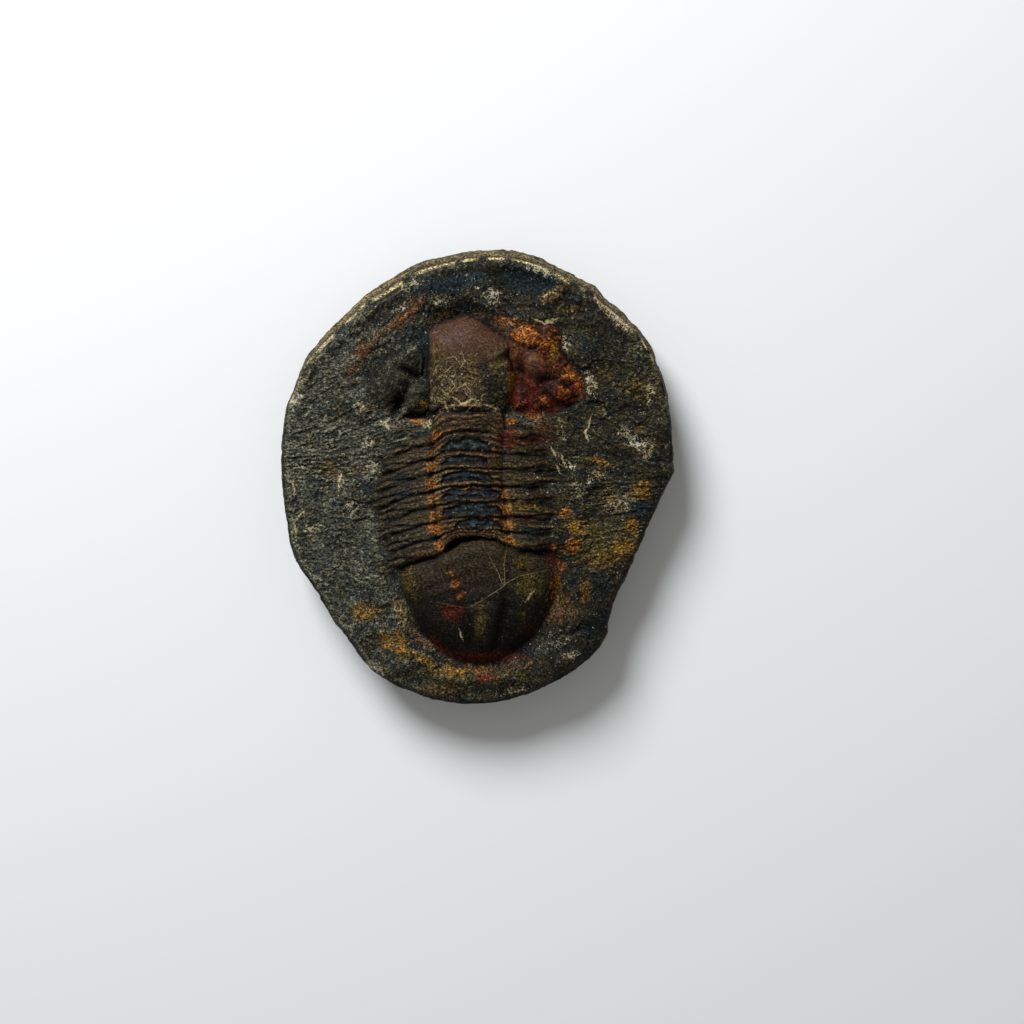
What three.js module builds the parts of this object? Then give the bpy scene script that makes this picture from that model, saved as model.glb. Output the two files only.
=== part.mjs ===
// Half of a flat, round stone nodule that has split open, with one trilobite standing out of the split face.
// Fossil and matrix are one piece of rock, so the model is one closed solid.
// Millimetres: X runs across the animal, +Y points to its head, +Z up out of the split face, and Z = 0 is the resting face.
import * as THREE from "three";

// Driving dimensions
const WIDTH = 92.4; // of the whole stone, along X
const LENGTH = 107; // of the whole stone, along Y
const FACE_Z = 14.5; // mean height of the split face
const WIDEST_Z = 8.5; // height at which the nodule is widest
const THORAX_SEGMENTS = 8;
const AXIS_HALF_WIDTH = 8.2; // of the raised middle lobe in the thorax
const LEFT_FLANK = 21; // from the midline to the tips of the left ribs
const RIGHT_FLANK = 19.4; // from the midline to the tips of the right ribs
const GLABELLA_RISE = 3.8; // the middle of the head, above the split face
const TAIL_RISE = 5.4; // the tail shield, above the split face
const AXIS_RISE = 3.4; // the thorax's middle lobe, above the split face
const FLANK_RISE = 1.9; // the ribs beside it, above the split face
const MOAT_DEPTH = 1.3; // the hollow in the matrix around the animal
const MOAT_REACH = 5; // how far that hollow spreads
const BESIDE_THORAX = 0.35; // share of its depth beside the ribs
const BURIED = -2.6; // height given to each part of the animal where it lies under the matrix

// The stone's outline at its widest, anticlockwise from the right-hand side
const STONE_OUTLINE = [
  [46.2, 3.5], [45.5, 0], [43.1, -4.6], [40.3, -11], [36.6, -19.6], [33.2, -27.2], [31, -33.2], [30.5, -37.2],
  [27.3, -41.8], [21.8, -46.1], [16.2, -49.3], [10, -51.8], [3.6, -53.2], [-3.4, -53.5], [-10.5, -52.4],
  [-17.6, -49.9], [-22.3, -47.3], [-26.3, -44.2], [-30.4, -38.4], [-34.9, -32.3], [-38.8, -25.5], [-41.8, -21.4],
  [-44.2, -15.4], [-45.6, -5.5], [-46.2, 3.5], [-45.8, 10], [-45, 16.4], [-43.2, 20.9], [-40.9, 26.8],
  [-37.3, 31.9], [-27.9, 41.5], [-23, 45], [-15, 49.9], [-8.9, 51.7], [-3.4, 53], [3.4, 53.5], [8.6, 53.3],
  [13.9, 51.9], [18.7, 49.6], [27.1, 45.2], [30, 42.2], [33.6, 39.4], [37.8, 35.2], [41.3, 29.7], [43.6, 23],
  [45.2, 16],
];

// The tail shield's outline, anticlockwise from its right-hand corner
const TAIL_CENTRE = [0.9, -27.5];
const TAIL_OUTLINE = [
  [19, -22.8], [17.2, -19], [13.4, -16.8], [7.6, -15.8], [4.9, -14.6], [1, -14.2], [-3.3, -15], [-6.1, -16.8],
  [-12, -18], [-17, -20.4], [-18, -23.6], [-16.4, -28.8], [-13.7, -33.8], [-10.4, -38], [-6.4, -41.2], [-1.6, -42.7],
  [3.6, -42.5], [8.1, -40.7], [12.3, -37.2], [15.3, -32.8], [17.6, -28],
];

// The outline of the head's raised middle, the glabella, anticlockwise from the right
const GLABELLA_CENTRE = [-1.6, 26];
const GLABELLA_OUTLINE = [
  [9.2, 23.4], [8.5, 27], [7.4, 29.6], [7.5, 31.9], [3, 35.6], [-0.4, 37.6], [-2.9, 37.9], [-6.1, 36.9],
  [-10.2, 35.1], [-11.5, 33], [-11.5, 26.5], [-11.3, 18.4], [-10.4, 15.9], [-5.4, 15.2], [0, 15], [4.8, 15.7],
  [7.2, 17.6], [8.7, 20],
];

// The broken right cheek, anticlockwise from its tip
const CHEEK_CENTRE = [15, 25];
const CHEEK_OUTLINE = [
  [24.5, 23.4], [22.4, 26], [20, 29.6], [18.6, 34.8], [14.6, 37], [9.5, 35.6], [6.5, 32], [7.6, 24], [6.6, 18],
  [10, 15.6], [16, 15.4], [20.2, 16.8], [23.8, 19.4],
];

// The body's midline, head to tail, as y and x
const MIDLINE = [[40, -2.1], [25.6, -1.6], [11.4, -2.1], [-0.4, -2.3], [-12.2, -1.1], [-19.3, 0.6], [-30, 1.6], [-44, 2.4]];

// Half the width of the tail shield's own axis, front to back, as y and half width
const TAIL_AXIS = [[-14, 6.5], [-20, 6.3], [-28.8, 4.3], [-33.5, 2.9], [-38.2, 1.7], [-41, 0.3]];

// The y of the lines between the segments at five places across the body, from the first one's front to the last one's back
const SEGMENT_LINES = {
  middle: [13.1, 11.2, 8.7, 4.5, 1, -2.4, -6.1, -9.9, -13.8],
  left: {
    furrow: [12.2, 8.3, 5, 1.3, -2.6, -6.2, -9.9, -13.4, -17.2],
    tip: [7.4, 4.1, 0.5, -3, -6.6, -10.1, -13.9, -17.4, -20.8],
  },
  right: {
    furrow: [13.7, 9.7, 6.2, 2.6, -1.4, -4.8, -8.5, -12.1, -16],
    tip: [11.9, 8.8, 5.7, 1.9, -1.8, -5.6, -9.5, -12.7, -16.3],
  },
};
const PITCH_BEYOND = 3.7; // spacing of the mesh's segment counts in front of those lines and behind them

// Rounded rises (and hollows, where rise is negative): centre, half lengths, turn in degrees and rise
const MATRIX_FORMS = [
  { name: "rusty ridge, upper left", x: -22, y: 34, long: 12, wide: 2.6, turn: 43, rise: 1.2 },
  { name: "trough beside it", x: -27.5, y: 33.5, long: 9, wide: 2, turn: 45, rise: -0.6 },
  { name: "step, left edge", x: -36.5, y: 18.6, long: 8, wide: 1.6, turn: 20, rise: -0.7 },
  { name: "scoop behind the rim", x: 10, y: 46.4, long: 10, wide: 3.6, turn: -12, rise: -1.2 },
  { name: "pale ridge", x: 18.6, y: 44.2, long: 4.6, wide: 1.7, turn: 32, rise: 1 },
  { name: "shelf above the head", x: 0, y: 42, long: 13, wide: 2.4, turn: -4, rise: 0.7 },
  { name: "hollow right of the cheek", x: 25, y: 25.2, long: 6, wide: 1.7, turn: -28, rise: -1 },
  { name: "lump beside that hollow", x: 29, y: 31, long: 8, wide: 4, turn: -35, rise: 0.6 },
  { name: "mound, right edge", x: 40.4, y: 8.8, long: 6.5, wide: 4, turn: 80, rise: 0.9 },
  { name: "scar, lower right edge", x: 39, y: -11, long: 6, wide: 3, turn: 65, rise: -0.7 },
  { name: "lump, lower right", x: 22, y: -42.6, long: 7, wide: 3, turn: 38, rise: 0.7 },
  { name: "roll behind the tail", x: 3.4, y: -46.4, long: 9, wide: 1.8, turn: 4, rise: 0.6 },
  { name: "swell, lower left", x: -26, y: -32, long: 8, wide: 5, turn: -50, rise: 0.5 },
  { name: "swell, left", x: -33, y: -2, long: 6, wide: 12, turn: 10, rise: 0.5 },
  { name: "hollow, right", x: 29, y: -3, long: 7, wide: 9, turn: 0, rise: -0.5 },
];

// The same for the forms of the broken head: cheeks, eyes and the pits between their plates
const HEAD_FORMS = [
  { name: "left cheek", x: -19.6, y: 23.4, long: 8.2, wide: 4.6, turn: 58, rise: 3 },
  { name: "plate beside the glabella", x: -14.6, y: 19.4, long: 4.4, wide: 3.4, turn: 70, rise: 2.2 },
  { name: "right eye", x: 14.2, y: 26.8, long: 3.9, wide: 3.2, turn: -50, rise: 2.2 },
  { name: "fold below the right eye", x: 19, y: 20.6, long: 4, wide: 1.6, turn: -30, rise: 1.2 },
  { name: "crest right of the glabella", x: 12, y: 33.4, long: 5, wide: 2.2, turn: -20, rise: 1 },
];
const HEAD_PITS = [
  { name: "pit between cheek and plate", x: -18.4, y: 17.8, long: 3.8, wide: 2, turn: 66, rise: -1.7 },
  { name: "notch behind the left eye", x: -15.6, y: 25.2, long: 3.2, wide: 1.7, turn: -32, rise: -1 },
  { name: "slot under the plate", x: -14.6, y: 14.8, long: 3.6, wide: 1.6, turn: 0, rise: -1.1 },
  { name: "groove inside the right eye", x: 10.2, y: 25.4, long: 4.6, wide: 1.6, turn: 80, rise: -1 },
];

// How the side wall falls from the edge of the split face to the resting face: height, and inset from the widest outline.
// The inset above the widest ring is a share of the edge bevel, and below it is in millimetres.
const WALL_ABOVE = [{ z: 12.4, bevelShare: 0.42 }, { z: 10.6, bevelShare: 0.2 }, { z: WIDEST_Z, bevelShare: 0 }];
const WALL_BELOW = [{ z: 5.2, inset: 1.5 }, { z: 2.3, inset: 5.2 }, { z: 0.6, inset: 12 }];
const BASE_INSET = 18; // from the outline to the edge of the flat resting face
const EDGE_BEVEL = 0.8; // between the split face's edge and the widest outline
const HEAD_END_BEVEL = 1.7; // added to it at the head end, where the layered rim shows
const EDGE_ROUND = 3; // over this distance the split face rolls down to its edge
const EDGE_DROP = 1.3;

// Mesh lines: across the body, and along it in segment counts from the thorax's front edge
const COLUMNS = 32;
const BLOCK_HALF_WIDTH = 23.5;
const BLOCK_END_TAPER = 0.3; // share of that width lost at the two ends
const HEAD_ROWS = 17;
const ROW_PHASES = [0.02, 0.22, 0.5, 0.88]; // of the rows within each segment
const TAIL_ROWS = 17;
const HEAD_END = -7.3;
const TAIL_END = 15.8;
const FACE_RINGS = 6;
const BASE_POINTS = 50;

const smooth = (from, to, value) => {
  const share = THREE.MathUtils.clamp((value - from) / (to - from), 0, 1);
  return share * share * (3 - 2 * share);
};

const along = (table, at) => {
  const rising = table[0][0] < table[table.length - 1][0];
  const rows = rising ? table : [...table].reverse();
  if (at <= rows[0][0]) return rows[0][1];
  for (let i = 1; i < rows.length; i++) {
    const [before, after] = [rows[i - 1], rows[i]];
    if (at <= after[0]) return THREE.MathUtils.lerp(before[1], after[1], smooth(before[0], after[0], at));
  }
  return rows[rows.length - 1][1];
};

// The distance from a centre to a closed smooth outline, as a function of direction.
function radiusOf(outline, [centreX, centreY]) {
  const SAMPLES = 720;
  const points = outline.map(([x, y]) => new THREE.Vector3(x, y, 0));
  const curve = new THREE.CatmullRomCurve3(points, true, "catmullrom", 0.5);
  const polar = curve.getPoints(SAMPLES).slice(0, SAMPLES).map((p) => {
    const [x, y] = [p.x - centreX, p.y - centreY];
    return { angle: (Math.atan2(y, x) + 2 * Math.PI) % (2 * Math.PI), radius: Math.hypot(x, y) };
  });
  polar.sort((a, b) => a.angle - b.angle);
  return (angle) => {
    const turn = (angle + 4 * Math.PI) % (2 * Math.PI);
    let next = polar.findIndex((p) => p.angle > turn);
    if (next < 0) next = 0;
    const [a, b] = [polar[(next + SAMPLES - 1) % SAMPLES], polar[next]];
    const gap = (b.angle - a.angle + 2 * Math.PI) % (2 * Math.PI);
    const share = gap > 0 ? ((turn - a.angle + 2 * Math.PI) % (2 * Math.PI)) / gap : 0;
    return THREE.MathUtils.lerp(a.radius, b.radius, share);
  };
}

const stoneRadius = radiusOf(STONE_OUTLINE, [0, 0]);
const tailRadius = radiusOf(TAIL_OUTLINE, TAIL_CENTRE);
const glabellaRadius = radiusOf(GLABELLA_OUTLINE, GLABELLA_CENTRE);
const cheekRadius = radiusOf(CHEEK_OUTLINE, CHEEK_CENTRE);

// The higher of two surfaces, with a small fillet where they meet
const blendMax = (a, b, fillet) => {
  const near = Math.max(0, fillet - Math.abs(a - b)) / fillet;
  return Math.max(a, b) + (near * near * fillet) / 4;
};

// 0 at the centre of an outline and 1 on it
const shareOut = (x, y, [centreX, centreY], radius) =>
  Math.hypot(x - centreX, y - centreY) / radius(Math.atan2(y - centreY, x - centreX));

const formShare = (form, x, y) => {
  const turn = THREE.MathUtils.degToRad(form.turn);
  const [dx, dy] = [x - form.x, y - form.y];
  const u = (dx * Math.cos(turn) + dy * Math.sin(turn)) / form.long;
  const v = (-dx * Math.sin(turn) + dy * Math.cos(turn)) / form.wide;
  return Math.hypot(u, v);
};

const softForm = (form, x, y) => form.rise * Math.exp(-(formShare(form, x, y) ** 2) * 1.2);

// How far the stone's edge is set back from its widest outline, in one direction
const bevelAt = (angle) => EDGE_BEVEL + HEAD_END_BEVEL * smooth(0.35, 0.95, Math.sin(angle));

// The y of each line between the segments, at `offset` from the midline
function segmentLines(offset) {
  const { furrow, tip } = offset < 0 ? SEGMENT_LINES.left : SEGMENT_LINES.right;
  const side = Math.abs(offset);
  if (side <= AXIS_HALF_WIDTH) {
    const inner = (side / AXIS_HALF_WIDTH) ** 2;
    return furrow.map((y, i) => THREE.MathUtils.lerp(SEGMENT_LINES.middle[i], y, inner));
  }
  const reach = offset < 0 ? LEFT_FLANK : RIGHT_FLANK;
  const outer = Math.min(1.15, (side - AXIS_HALF_WIDTH) / (reach - AXIS_HALF_WIDTH)) ** 1.35;
  return furrow.map((y, i) => THREE.MathUtils.lerp(y, tip[i], outer));
}

// The y at which `count` segments lie in front
function lineAt(lines, count) {
  if (count <= 0) return lines[0] - PITCH_BEYOND * count;
  if (count >= THORAX_SEGMENTS) return lines[THORAX_SEGMENTS] - PITCH_BEYOND * (count - THORAX_SEGMENTS);
  const whole = Math.floor(count);
  return THREE.MathUtils.lerp(lines[whole], lines[whole + 1], count - whole);
}

// The same the other way round: how many segments lie in front of `y`
function countAt(lines, y) {
  if (y >= lines[0]) return (lines[0] - y) / PITCH_BEYOND;
  for (let i = 1; i <= THORAX_SEGMENTS; i++)
    if (y >= lines[i]) return i - (y - lines[i]) / (lines[i - 1] - lines[i]);
  return THORAX_SEGMENTS + (lines[THORAX_SEGMENTS] - y) / PITCH_BEYOND;
}

// One segment of the middle lobe, front to back: a furrow, then a ring that rises to its hind edge.
const ringProfile = (phase) =>
  phase < 0.22 ? -0.95 * Math.cos((phase / 0.22) * (Math.PI / 2)) : 0.25 * smooth(0.22, 0.8, phase) - 0.1 * smooth(0.9, 1, phase);

// One rib beside it: two ridges with a shallow furrow between, and a deep groove to the next rib.
const ribProfile = (phase) => 1.05 * Math.sin(Math.PI * phase) ** 0.6 - 0.55 * Math.exp(-(((phase - 0.42) / 0.13) ** 2)) - 0.8;

function thoraxHeight(x, y) {
  const offset = x - along(MIDLINE, y);
  const side = Math.abs(offset);
  const count = countAt(segmentLines(offset), y);
  const phase = count - Math.floor(count);
  const onAxis = 1 - smooth(AXIS_HALF_WIDTH - 0.8, AXIS_HALF_WIDTH + 0.4, side);
  const frontEnd = 0.5 - 1.15 * onAxis;
  const fade = smooth(frontEnd - 0.4, frontEnd, count) * (1 - smooth(THORAX_SEGMENTS, THORAX_SEGMENTS + 0.6, count));
  const reach = (offset < 0 ? LEFT_FLANK - 0.9 : RIGHT_FLANK) - 2.4 * (1 - smooth(0.6, 2.2, count));
  const outward = Math.max(0, (side - AXIS_HALF_WIDTH) / (reach - AXIS_HALF_WIDTH));
  const lobe = Math.sqrt(Math.max(0, 1 - (side / AXIS_HALF_WIDTH) ** 2));
  const furrow = -0.7 * Math.exp(-(((side - AXIS_HALF_WIDTH) / 0.9) ** 2));
  const flank = FLANK_RISE * (1 - 0.78 * Math.min(1, outward) ** 1.5) - 5 * Math.max(0, outward - 1);
  const level = THREE.MathUtils.lerp(flank, FLANK_RISE - 0.4 + (AXIS_RISE - FLANK_RISE + 0.4) * lobe, onAxis);
  const segments = THREE.MathUtils.lerp(ribProfile(phase), ringProfile(phase), onAxis);
  return THREE.MathUtils.lerp(BURIED, level + segments + furrow, fade);
}

function tailHeight(x, y) {
  const dome = 1 - shareOut(x, y, TAIL_CENTRE, tailRadius) ** 2.8;
  const middle = along(MIDLINE, y);
  const half = along(TAIL_AXIS, y);
  const side = Math.abs(x - middle);
  const hind = smooth(-24, -34, y);
  const axis = (0.5 + 0.5 * hind) * (1 - smooth(half - 1, half + 0.8, side));
  const furrow = -(0.25 + 0.75 * hind) * Math.exp(-(((side - half - 1) / 1.7) ** 2)) * smooth(-42, -39, y);
  return -1 + TAIL_RISE * dome + (axis + furrow) * THREE.MathUtils.clamp(1.6 * dome, 0, 1);
}

function headHeight(x, y) {
  const glabella = -0.8 + (GLABELLA_RISE + 0.8) * (1 - shareOut(x, y, GLABELLA_CENTRE, glabellaRadius) ** 3);
  const cheek = -0.8 + 2 * (1 - shareOut(x, y, CHEEK_CENTRE, cheekRadius) ** 2.4);
  const rises = HEAD_FORMS.map((form) => softForm(form, x, y));
  const [leftCheek, plate, ...onCheek] = rises;
  const leftRise = Math.max(leftCheek, plate);
  const left = THREE.MathUtils.lerp(BURIED, leftRise - 0.9, smooth(0, 0.9, leftRise));
  return blendMax(blendMax(glabella, cheek + Math.max(...onCheek), 1), left, 1);
}

// Long, low waves of the split face
const waves = (x, y) =>
  0.22 * Math.sin(0.21 * x + 0.33 * y + 0.6) + 0.18 * Math.sin(0.47 * x - 0.19 * y + 2.1) + 0.14 * Math.sin(0.13 * x - 0.61 * y + 4);

// The hollow in the matrix around the animal: full depth on the animal's edge or inside it, falling to 0 outside
function moat(x, y) {
  const offset = x - along(MIDLINE, y);
  const reach = offset < 0 ? LEFT_FLANK : RIGHT_FLANK;
  const besideThorax = Math.hypot(Math.max(0, Math.abs(offset) - reach), Math.max(0, y - 10, -18 - y));
  const outside = (centre, radius) =>
    Math.hypot(x - centre[0], y - centre[1]) * (1 - 1 / Math.max(1e-6, shareOut(x, y, centre, radius)));
  const gap = Math.min(
    outside(TAIL_CENTRE, tailRadius),
    outside(GLABELLA_CENTRE, glabellaRadius),
    outside(CHEEK_CENTRE, cheekRadius),
  );
  const beside = BESIDE_THORAX * (1 - smooth(0, 0.7 * MOAT_REACH, besideThorax));
  return MOAT_DEPTH * Math.max(1 - smooth(0, MOAT_REACH, gap), beside);
}

// The split face above Z = 0
function faceHeight(x, y) {
  const angle = Math.atan2(y, x);
  const fromEdge = stoneRadius(angle) - bevelAt(angle) - Math.hypot(x, y);
  const edge = EDGE_DROP * (1 - smooth(0, EDGE_ROUND, fromEdge)) ** 2;
  const forms = MATRIX_FORMS.reduce((sum, form) => sum + softForm(form, x, y), 0) * smooth(0, 3, fromEdge);
  const matrix = waves(x, y) + forms - edge - moat(x, y);
  const animal = Math.max(thoraxHeight(x, y), tailHeight(x, y), headHeight(x, y));
  const pits = HEAD_PITS.reduce((sum, form) => sum + softForm(form, x, y), 0);
  return FACE_Z + blendMax(matrix, animal, 1.2) + pits;
}

// The block of mesh lines over the animal: straight columns beside the midline, and rows that follow the segments.
function blockPoint(column, row) {
  const thoraxRows = THORAX_SEGMENTS * ROW_PHASES.length;
  let count;
  if (row < HEAD_ROWS) count = HEAD_END * (1 - row / HEAD_ROWS);
  else if (row <= HEAD_ROWS + thoraxRows) {
    const step = row - HEAD_ROWS;
    count = Math.floor(step / ROW_PHASES.length) + ROW_PHASES[step % ROW_PHASES.length];
  } else count = THREE.MathUtils.lerp(THORAX_SEGMENTS, TAIL_END, (row - HEAD_ROWS - thoraxRows) / TAIL_ROWS);
  const pastThorax = Math.max(0, count / HEAD_END, (count - THORAX_SEGMENTS) / (TAIL_END - THORAX_SEGMENTS));
  const halfWidth = BLOCK_HALF_WIDTH * (1 - BLOCK_END_TAPER * pastThorax ** 2);
  const offset = halfWidth * (2 * (column / COLUMNS) - 1);
  const straight = lineAt(SEGMENT_LINES.middle, count);
  const bent = lineAt(segmentLines(offset), count);
  const follow = smooth(HEAD_END, 0, count) * (1 - smooth(THORAX_SEGMENTS, TAIL_END, count));
  const y = THREE.MathUtils.lerp(straight, bent, follow);
  const x = along(MIDLINE, y) + offset;
  return new THREE.Vector3(x, y, faceHeight(x, y));
}

// The closed surface: block, rings out to the edge, rings down the wall, and the flat resting face.
function stoneGeometry() {
  const vertices = [];
  const triangles = [];
  const add = (point) => vertices.push(point) - 1;
  const quad = (a, b, c, d) => triangles.push([a, b, c], [a, c, d]);

  const rows = HEAD_ROWS + THORAX_SEGMENTS * ROW_PHASES.length + TAIL_ROWS;
  const block = [];
  for (let row = 0; row <= rows; row++)
    block.push(Array.from({ length: COLUMNS + 1 }, (_, column) => add(blockPoint(column, row))));
  for (let row = 0; row < rows; row++)
    for (let column = 0; column < COLUMNS; column++)
      quad(block[row][column], block[row + 1][column], block[row + 1][column + 1], block[row][column + 1]);

  // The block's rim, anticlockwise seen from above
  const rim = [
    ...block[rows].slice(0, COLUMNS),
    ...block.slice(1).reverse().map((line) => line[COLUMNS]),
    ...block[0].slice(1).reverse(),
    ...block.slice(0, rows).map((line) => line[0]),
  ];
  const directions = rim.map((index) => Math.atan2(vertices[index].y, vertices[index].x));
  const join = (inner, outer) =>
    inner.forEach((_, i) => {
      const next = (i + 1) % inner.length;
      quad(inner[i], outer[i], outer[next], inner[next]);
    });
  const ringAt = (radiusAt, heightAt) =>
    directions.map((angle, i) => {
      const radius = radiusAt(angle, i);
      const [x, y] = [radius * Math.cos(angle), radius * Math.sin(angle)];
      return add(new THREE.Vector3(x, y, heightAt(x, y)));
    });

  let last = rim;
  const rimRadii = rim.map((index) => Math.hypot(vertices[index].x, vertices[index].y));
  for (let ring = 1; ring <= FACE_RINGS; ring++) {
    const share = 1 - (1 - ring / FACE_RINGS) ** 1.25;
    const next = ringAt((angle, i) => THREE.MathUtils.lerp(rimRadii[i], stoneRadius(angle) - bevelAt(angle), share), faceHeight);
    join(last, next);
    last = next;
  }
  for (const { z, bevelShare } of WALL_ABOVE) {
    const next = ringAt((angle) => stoneRadius(angle) - bevelAt(angle) * bevelShare, () => z);
    join(last, next);
    last = next;
  }
  for (const { z, inset } of WALL_BELOW) {
    const next = ringAt((angle) => stoneRadius(angle) - inset, () => z);
    join(last, next);
    last = next;
  }

  // The resting face has fewer points, so its edge is zipped to the last ring.
  const base = Array.from({ length: BASE_POINTS }, (_, i) => {
    const angle = directions[0] + (2 * Math.PI * i) / BASE_POINTS;
    const radius = stoneRadius(angle) - BASE_INSET;
    return add(new THREE.Vector3(radius * Math.cos(angle), radius * Math.sin(angle), 0));
  });
  const turnOf = (index) => (Math.atan2(vertices[index].y, vertices[index].x) - directions[0] + 4 * Math.PI + 1e-9) % (2 * Math.PI);
  let [i, j] = [0, 0];
  while (i < last.length || j < BASE_POINTS) {
    const nextOuter = i + 1 < last.length ? turnOf(last[i + 1]) : 2 * Math.PI;
    const nextInner = j + 1 < BASE_POINTS ? turnOf(base[j + 1]) : 2 * Math.PI;
    const [outer, inner] = [last[i % last.length], base[j % BASE_POINTS]];
    if (j >= BASE_POINTS || (i < last.length && nextOuter <= nextInner)) {
      triangles.push([outer, inner, last[(i + 1) % last.length]]);
      i++;
    } else {
      triangles.push([outer, inner, base[(j + 1) % BASE_POINTS]]);
      j++;
    }
  }
  const centre = add(new THREE.Vector3(0, 0, 0));
  base.forEach((point, k) => triangles.push([point, centre, base[(k + 1) % BASE_POINTS]]));

  const geometry = new THREE.BufferGeometry().setFromPoints(vertices);
  geometry.setIndex(triangles.flat());
  return geometry;
}

// Sets the widest outline exactly to WIDTH by LENGTH, centred on the origin.
function fitted(geometry) {
  geometry.computeBoundingBox();
  const size = geometry.boundingBox.getSize(new THREE.Vector3());
  const centre = geometry.boundingBox.getCenter(new THREE.Vector3());
  geometry.translate(-centre.x, -centre.y, 0);
  geometry.scale(WIDTH / size.x, LENGTH / size.y, 1);
  geometry.computeVertexNormals();
  return geometry;
}

const slate = new THREE.MeshStandardMaterial({ color: 0x2a2d2b, roughness: 0.6, metalness: 0 });
const nodule = new THREE.Mesh(fitted(stoneGeometry()), slate);
nodule.name = "trilobite_nodule";

const part = new THREE.Group();
part.add(nodule);
export default part;
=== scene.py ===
import math
from types import SimpleNamespace

import bpy
import numpy as np
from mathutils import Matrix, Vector


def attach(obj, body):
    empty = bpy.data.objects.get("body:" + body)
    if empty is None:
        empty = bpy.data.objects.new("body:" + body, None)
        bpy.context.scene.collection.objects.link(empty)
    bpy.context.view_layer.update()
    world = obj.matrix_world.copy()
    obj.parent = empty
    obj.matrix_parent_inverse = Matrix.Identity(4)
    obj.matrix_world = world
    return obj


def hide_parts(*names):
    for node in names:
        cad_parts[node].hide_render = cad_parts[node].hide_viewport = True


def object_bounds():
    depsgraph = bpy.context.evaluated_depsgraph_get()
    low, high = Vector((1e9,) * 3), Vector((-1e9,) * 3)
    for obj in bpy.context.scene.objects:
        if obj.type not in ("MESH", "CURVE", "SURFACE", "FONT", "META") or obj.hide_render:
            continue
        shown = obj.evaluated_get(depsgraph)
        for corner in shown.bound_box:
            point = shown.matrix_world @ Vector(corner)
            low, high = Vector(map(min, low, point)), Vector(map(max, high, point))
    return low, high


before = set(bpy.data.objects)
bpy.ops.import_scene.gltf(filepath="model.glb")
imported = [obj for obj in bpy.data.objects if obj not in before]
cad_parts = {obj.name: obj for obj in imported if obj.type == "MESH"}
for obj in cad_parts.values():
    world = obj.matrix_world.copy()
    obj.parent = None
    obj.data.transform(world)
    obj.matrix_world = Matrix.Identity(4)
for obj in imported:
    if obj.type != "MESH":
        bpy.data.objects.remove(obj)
cad_low, cad_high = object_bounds()

MM = 0.001
NODE = "trilobite_nodule"

# The main forms, close to those of the solid
WIDTH = (cad_high.x - cad_low.x) / MM
FACE_Z = 14.5
WIDEST_Z = 8.5
BASE_INSET = 18
SEGMENTS = 8
AXIS_HALF_WIDTH = 8.2
LEFT_FLANK = 21
RIGHT_FLANK = 19.4
GLABELLA_RISE = 3.8
TAIL_RISE = 5.4
AXIS_RISE = 3.4
FLANK_RISE = 1.9
MOAT_DEPTH = 1.3
MOAT_REACH = 5
BESIDE_THORAX = 0.35
BURIED = -4
SEGMENT_PITCH = 3.7
EDGE_BEVEL = 0.35
HEAD_END_BEVEL = 1.45
EDGE_ROUND = 2.4
EDGE_DROP = 1.1
EDGE_NOISE_RADIUS = 50

STONE_OUTLINE = [
    (46.2, 3.5), (45.5, 0), (43.1, -4.6), (40.3, -11), (36.6, -19.6), (33.2, -27.2), (31, -33.2),
    (30.5, -37.2), (27.3, -41.8), (21.8, -46.1), (16.2, -49.3), (10, -51.8), (3.6, -53.2), (-3.4, -53.5),
    (-10.5, -52.4), (-17.6, -49.9), (-22.3, -47.3), (-26.3, -44.2), (-30.4, -38.4), (-34.9, -32.3),
    (-38.8, -25.5), (-41.8, -21.4), (-44.2, -15.4), (-45.6, -5.5), (-46.2, 3.5), (-45.8, 10), (-45, 16.4),
    (-43.2, 20.9), (-40.9, 26.8), (-37.3, 31.9), (-27.9, 41.5), (-23, 45), (-15, 49.9), (-8.9, 51.7),
    (-3.4, 53), (3.4, 53.5), (8.6, 53.3), (13.9, 51.9), (18.7, 49.6), (27.1, 45.2), (30, 42.2),
    (33.6, 39.4), (37.8, 35.2), (41.3, 29.7), (43.6, 23), (45.2, 16),
]
TAIL_CENTRE = (0.9, -27.5)
TAIL_OUTLINE = [
    (19, -22.8), (17.2, -19), (13.4, -16.6), (7.6, -15), (4.9, -13.7), (1, -13.2), (-3.3, -14),
    (-6.1, -15.9), (-12, -17.8), (-17, -20.4), (-18, -23.6), (-16.4, -28.8), (-13.7, -33.8), (-10.4, -38),
    (-6.4, -41.2), (-1.6, -42.7), (3.6, -42.5), (8.1, -40.7), (12.3, -37.2), (15.3, -32.8), (17.6, -28),
]
GLABELLA_CENTRE = (-1.6, 26)
GLABELLA_OUTLINE = [
    (9.2, 23.4), (8.5, 27), (7.4, 29.6), (7.5, 31.9), (3, 35.6), (-0.4, 37.6), (-2.9, 37.9), (-6.1, 36.9),
    (-10.2, 35.1), (-11.5, 33), (-11.5, 26.5), (-11.3, 18.4), (-10.4, 15.9), (-5.4, 15.2), (0, 15),
    (4.8, 15.7), (7.2, 17.6), (8.7, 20),
]
CHEEK_CENTRE = (15, 25)
CHEEK_OUTLINE = [
    (24.5, 23.4), (22.4, 26), (20, 29.6), (18.6, 34.8), (14.6, 37), (9.5, 35.6), (6.5, 32), (7.6, 24),
    (6.6, 18), (10, 15.6), (16, 15.4), (20.2, 16.8), (23.8, 19.4),
]

# The midline as y and x, and the tail axis as y and half width
MIDLINE = [
    (-44, 2.4), (-30, 1.6), (-19.3, 0.6), (-12.2, -1.1), (-0.4, -2.3), (11.4, -2.1), (25.6, -1.6),
    (40, -2.1),
]
TAIL_AXIS = [(-41, 0.3), (-38.2, 1.7), (-33.5, 2.9), (-28.8, 4.3), (-20, 6.3), (-14, 6.5)]

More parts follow.
